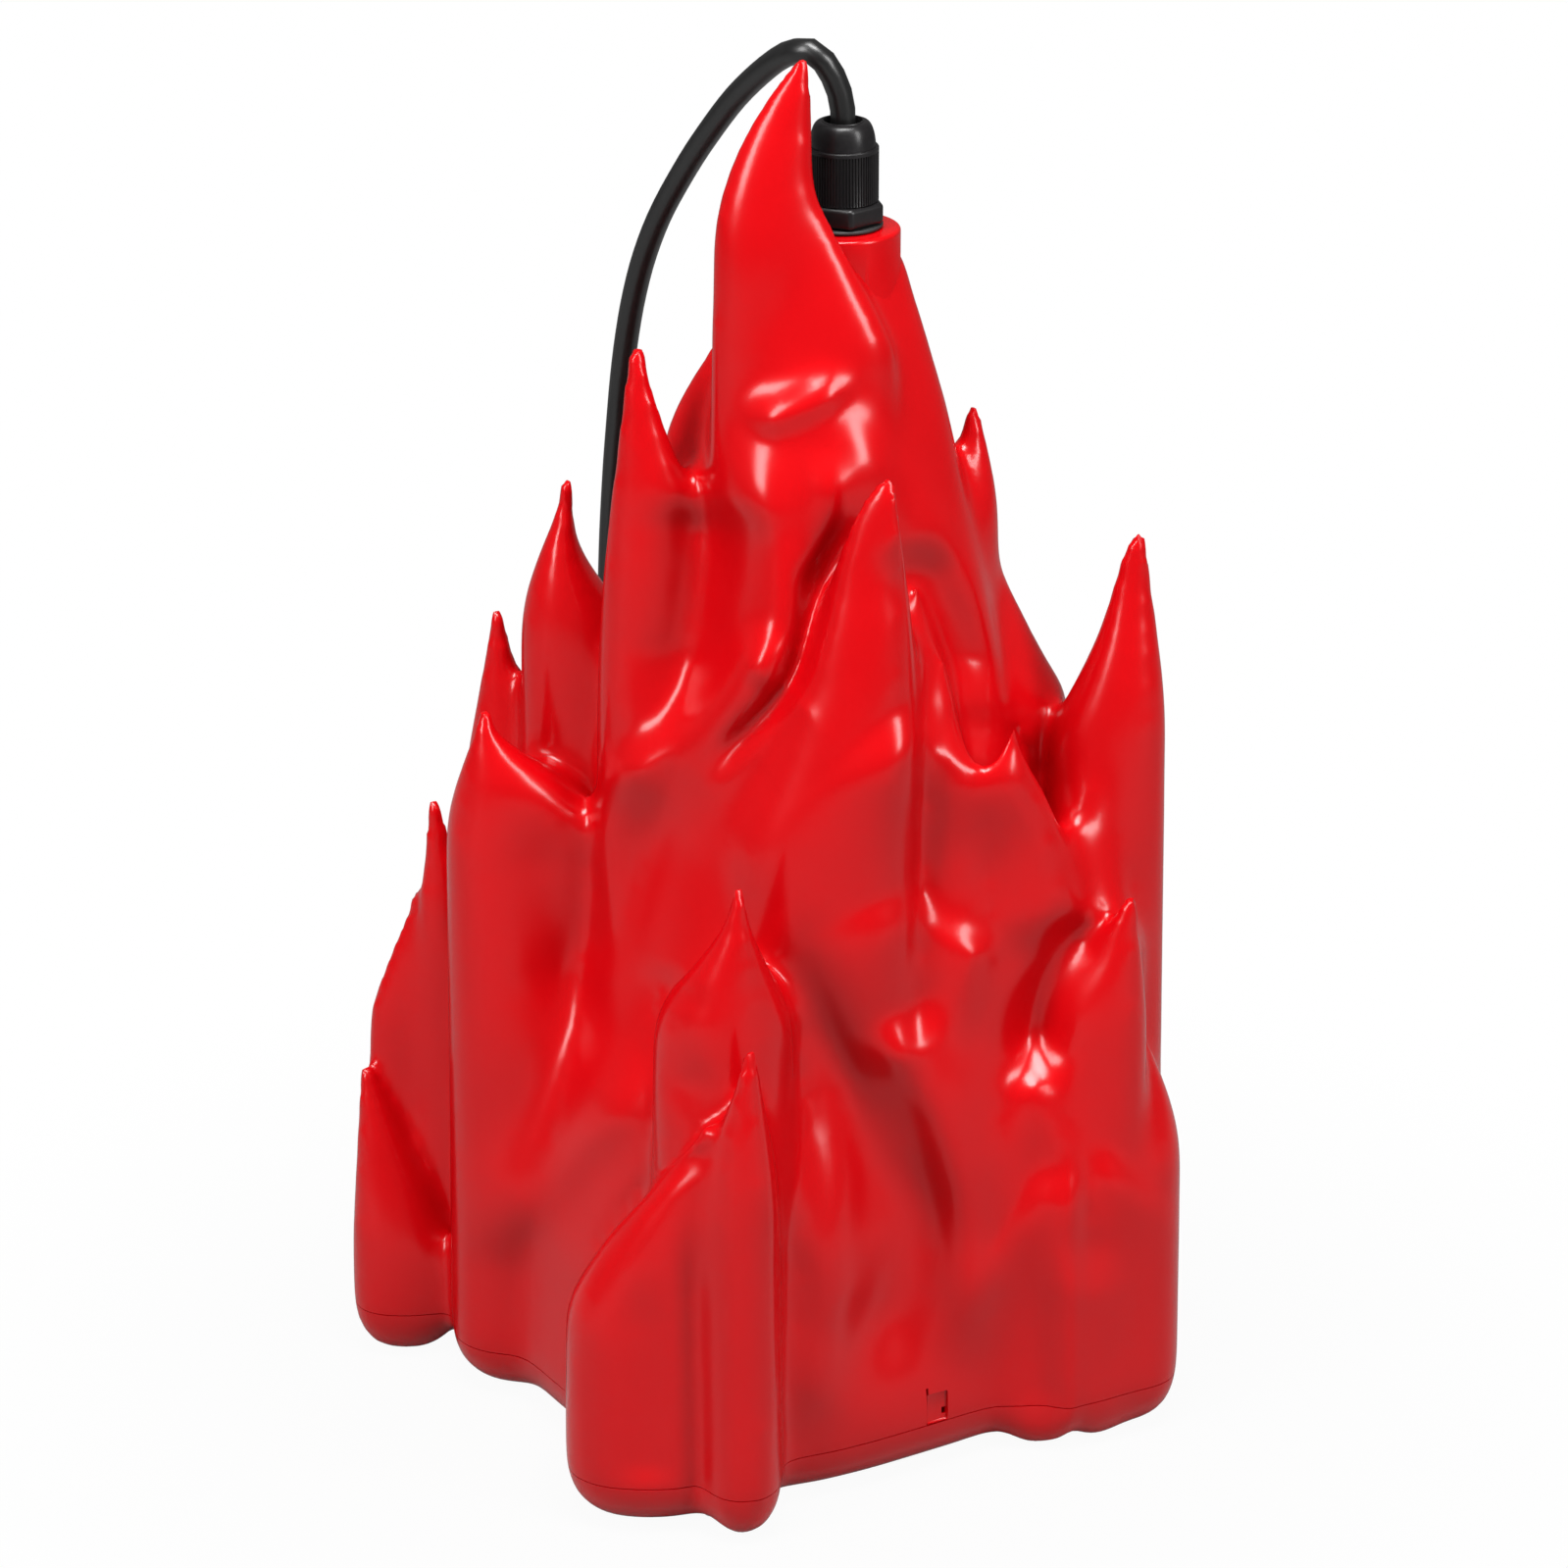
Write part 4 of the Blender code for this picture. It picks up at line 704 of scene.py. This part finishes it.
def carve(places, cell_size):
    """Move the places that face the corner by the ridges and hollows drawn over them."""
    depth_reached, depth_fade = 50, 25
    across, up, near = corner_view(places)
    cell = np.round(np.stack((across, up)) / cell_size).astype(int)
    cell -= cell.min(axis=1)[:, None]
    nearest = np.full(cell.max(axis=1) + 1, -np.inf)
    np.maximum.at(nearest, tuple(cell), near)
    facing = np.clip((near - nearest[tuple(cell)] + depth_reached) / depth_fade, 0, 1)
    push = np.zeros(len(places))
    for height, right_width, left_width, fade, way in CARVING.values():
        way = flowing_line(way, 2.0)
        reach = 3 * max(right_width, left_width)
        low = way.min(axis=0) - reach
        high = way.max(axis=0) + reach
        near_way = np.flatnonzero((across > low[0]) & (across < high[0]) & (up > low[1]) & (up < high[1]))
        spots = np.stack((across[near_way], up[near_way]), axis=1)
        least = np.full(len(near_way), np.inf)
        side = np.zeros(len(near_way))
        along = np.zeros(len(near_way))
        for k in range(len(way) - 1):
            step = way[k + 1] - way[k]
            length = np.linalg.norm(step)
            t = np.clip((spots - way[k]) @ step / length ** 2, 0, 1)
            offset = spots - way[k] - t[:, None] * step
            distance = np.linalg.norm(offset, axis=1)
            closer = distance < least
            least[closer] = distance[closer]
            side[closer] = (step[0] * offset[:, 1] - step[1] * offset[:, 0])[closer]
            along[closer] = ((k + t) / (len(way) - 1))[closer]
        rise = np.clip(np.stack((along / fade[0], (1 - along) / fade[1])), 0, 1)
        ends = np.prod(rise ** 2 * (3 - 2 * rise), axis=0)
        width = np.where(side > 0, right_width, left_width)
        push[near_way] += height * ends * np.exp(-(least / width) ** 2)
    toward = np.array((math.sin(CORNER), -math.cos(CORNER), 0))
    return places + toward * (push * facing * MM)[:, None]


def soften(form, weights, factor, rounds):
    """Smooth each place of a form by its weight."""
    steps = 20
    group = form.vertex_groups.new(name="softened")
    levels = np.round(weights * steps).astype(int)
    for level in range(1, steps + 1):
        group.add(np.flatnonzero(levels == level).tolist(), level / steps, "REPLACE")
    change = form.modifiers.new("soften", "SMOOTH")
    change.factor = factor
    change.iterations = rounds
    change.vertex_group = group.name
    apply_modifiers(form)
    form.vertex_groups.clear()


def flame_form(name, inset, ground, voxel, smooth_rounds, sides):
    """All tongues and the body as one closed, carved skin with soft valleys and sharp tips."""
    rubbed_reach, rubbed_fade = 0.022, 0.012
    spared_reach, spared_fade = 0.003, 0.016
    columns = [column("body", (0, 0), 0.0, body_rings(inset, ground), 2 * sides)]
    sharp_tips, rubbed_tips = [], []
    for table, turn in ((SEEN_TONGUES, CORNER), (REAR_TONGUES, 0.0)):
        for key, (tip, reach, shoulder, slopes) in table.items():
            rings = tongue_rings(tip, reach, shoulder, slopes, HANGING.get(key), inset, ground)
            columns.append(column(key, (tip[0] * MM, tip[1] * MM), turn, rings, sides))
            if key in RUBBED:
                rubbed_tips.append(np.array(tip) * MM)
            elif key not in BLUNT:
                sharp_tips.append(np.array(tip) * MM)
    clean_start()
    for made in columns:
        made.select_set(True)
    bpy.context.view_layer.objects.active = columns[0]
    bpy.ops.object.join()
    form = bpy.context.object
    form.name = name
    form.data.name = name
    unite = form.modifiers.new("unite", "REMESH")
    unite.mode = "VOXEL"
    unite.voxel_size = voxel
    apply_modifiers(form)
    places = np.empty(len(form.data.vertices) * 3)
    form.data.vertices.foreach_get("co", places)
    places = places.reshape(-1, 3)
    rubbed, free = (np.min([np.linalg.norm((places - tip) * (1, 1, 0.5), axis=1) for tip in chosen], axis=0)
                    for chosen in (rubbed_tips, sharp_tips))
    soften(form, np.clip((rubbed_reach - rubbed) / rubbed_fade, 0, 1), 0.8, round(1.7 * smooth_rounds))
    soften(form, np.clip((free - spared_reach) / spared_fade, 0, 1), 0.5, smooth_rounds)
    places = np.empty(len(form.data.vertices) * 3)
    form.data.vertices.foreach_get("co", places)
    form.data.vertices.foreach_set("co", carve(places.reshape(-1, 3), 2 * voxel / MM).ravel())
    settle = form.modifiers.new("settle", "SMOOTH")
    settle.factor = 0.5
    settle.iterations = 2
    apply_modifiers(form)
    return form


def copy_of(source, name):
    """A second object with a mesh of its own."""
    made = source.copy()
    made.data = source.data.copy()
    made.name = name
    made.data.name = name
    bpy.context.scene.collection.objects.link(made)
    return made


def slab(name, bottom, top):
    """A level slab that is wider than the light."""
    return block(name, (0.4, 0.4, top - bottom), (0, 0, (bottom + top) / 2))


outer_form = flame_form("outer_form", 0.0, -TRIM, voxel=0.0019, smooth_rounds=51, sides=SIDES)
inner_form = flame_form("inner_form", WALL, WALL - TRIM, voxel=0.0042, smooth_rounds=9, sides=32)

GLAND_AXIS = Vector((0.0, 0.0188))
BOSS_RADIUS = 0.016
BOSS_TOP = 0.351
BOSS_ROOF = 0.003
BOSS_FOOT = 0.300
BOSS_BORE = 0.0134
BOSS_HOLE = 0.0079
HEAD_SEAT = 0.0042
HEAD_RECESS = 0.0034
PILLAR_RADIUS = 0.0048
PILOT_RADIUS = 0.0019
STANDOFF_RADIUS = 0.0031
STANDOFF_HEIGHT = 0.006
DRIVER_CENTRE = (-0.040, -0.034)
DRIVER_SCREW_REACH = 0.025

# where the base screws stand, and how high their pillars rise
BASE_SCREWS = ((-0.078, -0.083, 0.052), (0.060, -0.060, 0.114), (0.071, 0.068, 0.136),
               (-0.078, 0.076, 0.102))

cut(inner_form, "INTERSECT", slab("floor_slab", WALL, WALL + 0.45), "MANIFOLD")
for x, y, top in BASE_SCREWS:
    cut(inner_form, "DIFFERENCE", rod("pillar", PILLAR_RADIUS, 0, top, (x, y)), "MANIFOLD")

SEAM_TOP = SEAM_HEIGHT + GAP / 2
SEAM_FOOT = SEAM_HEIGHT - GAP / 2

cover = copy_of(outer_form, "flame_cover")
cut(cover, "INTERSECT", slab("cover_slab", SEAM_TOP, SEAM_TOP + 0.435), "MANIFOLD")
boss = rod("boss", BOSS_RADIUS, BOSS_FOOT, BOSS_TOP, GLAND_AXIS, 96)
bevel_edges(boss, 0.0011, 5)
cut(cover, "UNION", boss, "MANIFOLD")
cut(cover, "DIFFERENCE", copy_of(inner_form, "hollow"), "MANIFOLD")
cut(cover, "DIFFERENCE", rod("boss_bore", BOSS_BORE, BOSS_FOOT, BOSS_TOP - BOSS_ROOF, GLAND_AXIS), "MANIFOLD")
cut(cover, "DIFFERENCE", rod("boss_hole", BOSS_HOLE, 0.320, BOSS_TOP + 0.01, GLAND_AXIS), "MANIFOLD")

pan = copy_of(outer_form, "bottom_pan")
cut(pan, "INTERSECT", slab("pan_slab", 0, SEAM_FOOT), "MANIFOLD")
cut(pan, "DIFFERENCE", inner_form, "MANIFOLD")

for x, y, _ in BASE_SCREWS:
    cut(cover, "DIFFERENCE", rod("pilot", PILOT_RADIUS, 0, 0.030, (x, y), 24), "MANIFOLD")
    cut(pan, "DIFFERENCE", rod("pilot", PILOT_RADIUS, -0.01, 0.03, (x, y), 24), "MANIFOLD")
    cut(pan, "DIFFERENCE", rod("recess", HEAD_RECESS, -0.01, HEAD_SEAT, (x, y)), "MANIFOLD")
for side in (-1, 1):
    spot = (DRIVER_CENTRE[0], DRIVER_CENTRE[1] + side * DRIVER_SCREW_REACH)
    standoff = rod("standoff", STANDOFF_RADIUS, WALL - 0.0005, WALL + STANDOFF_HEIGHT, spot)
    cut(pan, "UNION", standoff, "MANIFOLD")
    cut(pan, "DIFFERENCE", rod("standoff_hole", PILOT_RADIUS, WALL + 0.001, 0.03, spot, 24), "MANIFOLD")

# the catch on the right face: a shallow window over the seam, with a slit and a small hole beside it
MARK_Y = 0.009
bpy.context.view_layer.update()
_, wall, _, _ = outer_form.ray_cast((0.3, MARK_Y, SEAM_TOP + 0.005), (-1, 0, 0))
for name, size, inward, along, above in (
        ("catch_mark", (0.016, 0.0068, 0.0095), 0.0069, 0, 0.00475),
        ("catch_slit", (0.016, 0.0007, 0.0115), 0.0062, -0.0034, 0.00575),
        ("catch_hole", (0.016, 0.0013, 0.0022), 0.005, 0.0026, 0.0028)):
    tool = block(name, size, (wall.x + inward, MARK_Y + along, SEAM_TOP + above))
    if name == "catch_mark":
        bevel_edges(tool, 0.0006, 3)
    cut(cover, "DIFFERENCE", tool, "MANIFOLD")
bpy.data.objects.remove(outer_form, do_unlink=True)

red = grained("red_moulding", (0.43, 0.0008, 0.0026), (0.39, 0.0005, 0.002), roughness=0.22, swing=0.06,
              scale=60, bump=0.05, size=0.0004)
shader = red.node_tree.nodes["Principled BSDF"]
shader.inputs["Specular IOR Level"].default_value = 0.3
shader.inputs["Subsurface Weight"].default_value = 0.12
shader.inputs["Subsurface Radius"].default_value = (0.004, 0.0008, 0.0008)
shader.inputs["Subsurface Scale"].default_value = 1.0
round_over(cover, 50)
round_over(pan, 50)
finish_piece(cover, red, "light", "red_plastic", "flame_shell")
finish_piece(pan, red, "light", "red_plastic", "base_pan")

# Cable gland: a black nylon fitting screwed through the boss roof. A six-sided body with rounded corners, a
# locknut beneath, a rubber seal round the lead and a domed nut with fine upright ribs that squeezes the
# seal.

FLANGE_FLATS = 0.0205
LOCKNUT_FLATS = 0.0220
WASHER_HEIGHT = 0.0010
NUT_RADIUS = 0.0099
NUT_MOUTH = 0.0053
NUT_RIBS = 72
RIB_DEPTH = 0.00042
LOBES = 8
THREAD_RADIUS = 0.0076
THREAD_DEPTH = 0.0006
THREAD_PITCH = 0.00141
washer_top = BOSS_TOP + GAP + WASHER_HEIGHT
flange_foot = washer_top + GAP
flange_top = flange_foot + 0.0058
barrel_top = flange_top + 0.0105
barrel_bore = 0.0055
locknut_top = BOSS_TOP - BOSS_ROOF - GAP
locknut_foot = locknut_top - 0.0050
barrel_foot = locknut_foot - 0.0018
thread_root = THREAD_RADIUS - THREAD_DEPTH
nut_foot = flange_top + GAP
nut_bore = THREAD_RADIUS + GAP
skirt_top = nut_foot + 0.0150
dome_top = skirt_top + 0.0072
lead_hole = LEAD_RADIUS + GAP


def turned_piece(name, outline, steps=96):
    """A closed outline of (radius, height) points, spun round the gland's axis."""
    clean_start()
    bpy.ops.mesh.primitive_circle_add(vertices=len(outline))
    made = bpy.context.object
    for vertex, (radius, height) in zip(made.data.vertices, outline):
        vertex.co = (radius, 0, height)
    bpy.ops.object.mode_set(mode="EDIT")
    bpy.ops.mesh.select_all(action="SELECT")
    bpy.ops.mesh.spin(steps=steps, angle=math.tau, center=(0, 0, 0), axis=(0, 0, 1))
    bpy.ops.mesh.select_all(action="SELECT")
    bpy.ops.mesh.remove_doubles(threshold=0.00001)
    bpy.ops.mesh.normals_make_consistent(inside=False)
    bpy.ops.object.mode_set(mode="OBJECT")
    made.location = (*GLAND_AXIS, 0)
    return keep_as(name)


def hexagon(name, flats, bottom, top, corner, turn):
    """A six-sided prism on the gland's axis with rounded upright corners and eased rims."""
    clean_start()
    bpy.ops.mesh.primitive_cylinder_add(vertices=6, radius=flats / 2 / math.cos(math.pi / 6),
                                        depth=top - bottom, rotation=(0, 0, turn),
                                        location=(*GLAND_AXIS, (top + bottom) / 2))
    made = keep_as(name)
    bevel_edges(made, corner, 6, 50)
    return made


black = grained("gland_nylon", (0.007, 0.006, 0.0063), (0.004, 0.0035, 0.004), roughness=0.36, swing=0.1,
                scale=900, bump=0.12)
black.node_tree.nodes["Principled BSDF"].inputs["Specular IOR Level"].default_value = 0.35

thread = []
for k in range(int((barrel_top - locknut_foot) / THREAD_PITCH)):
    height = barrel_top - 0.0004 - k * THREAD_PITCH
    thread += [(THREAD_RADIUS, height), (THREAD_RADIUS, height - 0.0003),
               (thread_root, height - 0.0006), (thread_root, height - 0.0009)]
barrel_outline = [(barrel_bore, barrel_top), (thread_root, barrel_top), *thread, (thread_root, barrel_foot),
                  (lead_hole, barrel_foot), (lead_hole, flange_top + 0.0007),
                  (barrel_bore, flange_top + 0.0007)]
barrel = turned_piece("gland_barrel", barrel_outline)
flange = hexagon("gland_hexagon", FLANGE_FLATS, flange_foot, flange_top, 0.0012, math.radians(10))
flange_bore = rod("flange_bore", THREAD_RADIUS - 0.0010, flange_foot - 0.01, flange_top + 0.01, GLAND_AXIS)
cut(flange, "DIFFERENCE", flange_bore)
cut(barrel, "UNION", flange)
round_over(barrel)
finish_piece(barrel, black, "light", "black_nylon", "gland_body")

locknut = hexagon("locknut", LOCKNUT_FLATS, locknut_foot, locknut_top, 0.0005, 0)
locknut_bore = rod("locknut_bore", nut_bore, locknut_foot - 0.01, locknut_top + 0.01, GLAND_AXIS)
cut(locknut, "DIFFERENCE", locknut_bore)
round_over(locknut)
finish_piece(locknut, black, "light", "black_nylon", "gland_locknut")

washer_outline = [(0.0109, washer_top), (0.0112, washer_top - 0.0003), (0.0112, washer_top - 0.0007),
                  (0.0109, washer_top - WASHER_HEIGHT), (BOSS_HOLE, washer_top - WASHER_HEIGHT),
                  (BOSS_HOLE, washer_top)]
washer = turned_piece("rubber_washer", washer_outline)
round_over(washer)
finish_piece(washer, rubber, "light", "black_rubber", "gland_washer")

seal_foot = flange_top + 0.0010
seal_top = barrel_top - 0.0005
seal_radius = 0.0052
seal_outline = [(seal_radius, seal_top - 0.0005), (seal_radius, seal_foot), (lead_hole, seal_foot),
                (lead_hole, seal_top), (seal_radius - 0.0005, seal_top)]
seal = turned_piece("rubber_seal", seal_outline, 64)
round_over(seal)
finish_piece(seal, rubber, "light", "black_rubber", "gland_seal")

slip_foot = barrel_top + GAP
slip_top = slip_foot + 0.0012
slip_bore = 0.0042
slip_outline = [(THREAD_RADIUS - 0.0004, slip_top), (THREAD_RADIUS, slip_top - 0.0004),
                (THREAD_RADIUS, slip_foot), (slip_bore, slip_foot), (slip_bore, slip_top)]
slip = turned_piece("slip_ring", slip_outline, 64)
round_over(slip)
finish_piece(slip, black, "slip_ring", "black_nylon", "gland_slip_ring")

rib_top = skirt_top - 0.0012
clean_start()
bpy.ops.mesh.primitive_cylinder_add(vertices=4 * NUT_RIBS, radius=NUT_RADIUS, depth=rib_top - nut_foot,
                                    location=(0, 0, (rib_top + nut_foot) / 2))
ribs = bpy.context.object
for vertex in ribs.data.vertices:
    count = round(math.atan2(vertex.co.y, vertex.co.x) / math.tau * 4 * NUT_RIBS)
    if count % 4 > 1:
        vertex.co.xy *= 1 - RIB_DEPTH / NUT_RADIUS
ribs.location.xy = GLAND_AXIS
keep_as("nut_ribs")
dome = [(NUT_RADIUS - 0.0003, nut_foot), (NUT_RADIUS - 0.0006, nut_foot + 0.0006),
        (NUT_RADIUS - 0.0006, rib_top - 0.0002), (NUT_RADIUS, rib_top), (NUT_RADIUS, skirt_top - 0.0003),
        (NUT_RADIUS - 0.0002, skirt_top), (NUT_RADIUS - 0.0008, skirt_top)]
for k in range(1, 13):
    angle = math.pi / 2 * k / 12
    radius = 0.0059 + (NUT_RADIUS - 0.0067) * math.cos(angle) ** 0.8
    dome.append((radius, skirt_top + 0.0070 * math.sin(angle)))
dome += [(NUT_MOUTH + 0.0005, dome_top), (NUT_MOUTH + 0.0001, dome_top), (NUT_MOUTH, dome_top - 0.0003),
         (NUT_MOUTH, slip_top + GAP + 0.0020), (nut_bore, slip_top + GAP), (nut_bore, nut_foot)]
nut = turned_piece("dome_nut", dome, 192)
for vertex in nut.data.vertices:
    offset = vertex.co.xy - GLAND_AXIS
    lift = (vertex.co.z - skirt_top) / (dome_top - skirt_top)
    if 0.05 < lift < 0.97 and offset.length > 0.0059:
        lobe = math.cos(LOBES * math.atan2(offset.y, offset.x))
        vertex.co.xy = GLAND_AXIS + offset * (1 + 0.022 * (lobe - 1) / 2 * math.sin(math.pi * lift) ** 0.7)
ring_cut = rod("rib_bore", NUT_RADIUS - 0.0012, nut_foot - 0.01, skirt_top + 0.01, GLAND_AXIS)
cut(ribs, "DIFFERENCE", ring_cut)
cut(nut, "UNION", ribs)
round_over(nut, 30)
finish_piece(nut, black, "nut", "black_nylon", "gland_nut")

# Base screws: four zinc-plated pan-head screws with a cross recess, driven up through the pan into the
# cover's pillars.

SCREW_HEAD_RADIUS = 0.0031
SCREW_SHANK_RADIUS = 0.0016
SCREW_END = 0.027
head_top = HEAD_SEAT - GAP
head_foot = head_top - 0.0022
steel = grained("screw_zinc", (0.58, 0.58, 0.60), (0.45, 0.45, 0.47), roughness=0.34, swing=0.15, scale=900,
                metallic=1.0)
for index, (x, y, _) in enumerate(BASE_SCREWS, 1):
    head = rod(f"pan_screw_{index}", SCREW_HEAD_RADIUS, head_foot, head_top, (x, y))
    bevel_edges(head, 0.0007, 4)
    shank = rod("shank", SCREW_SHANK_RADIUS, head_top - 0.0005, SCREW_END, (x, y), 32)
    cut(head, "UNION", shank)
    for size in ((0.0036, 0.0008, 0.0024), (0.0008, 0.0036, 0.0024)):
        cut(head, "DIFFERENCE", block("cross", size, (x, y, head_foot)))
    round_over(head)
    finish_piece(head, steel, "light", "zinc_steel", f"base_screw_{index}")

# Inside: the white light post with its three boards, the driver and the terminals, all closed in by the
# cover. They keep the solids' plain forms and get their materials here.

white = grained("post_plastic", (0.78, 0.78, 0.76), (0.70, 0.70, 0.68), roughness=0.5, swing=0.1, scale=500)
board = grained("board_lacquer", (0.02, 0.15, 0.05), (0.015, 0.11, 0.04), roughness=0.4, swing=0.1,
                scale=400)
for name, finish in (("led_post", white), ("terminal_block", white), ("driver_board", board),
                     ("led_board_1", board), ("led_board_2", board), ("led_board_3", board),
                     ("post_screw_1", steel), ("post_screw_2", steel), ("driver_screw_1", steel),
                     ("driver_screw_2", steel)):
    nodes[name].data.materials.clear()
    nodes[name].data.materials.append(finish)
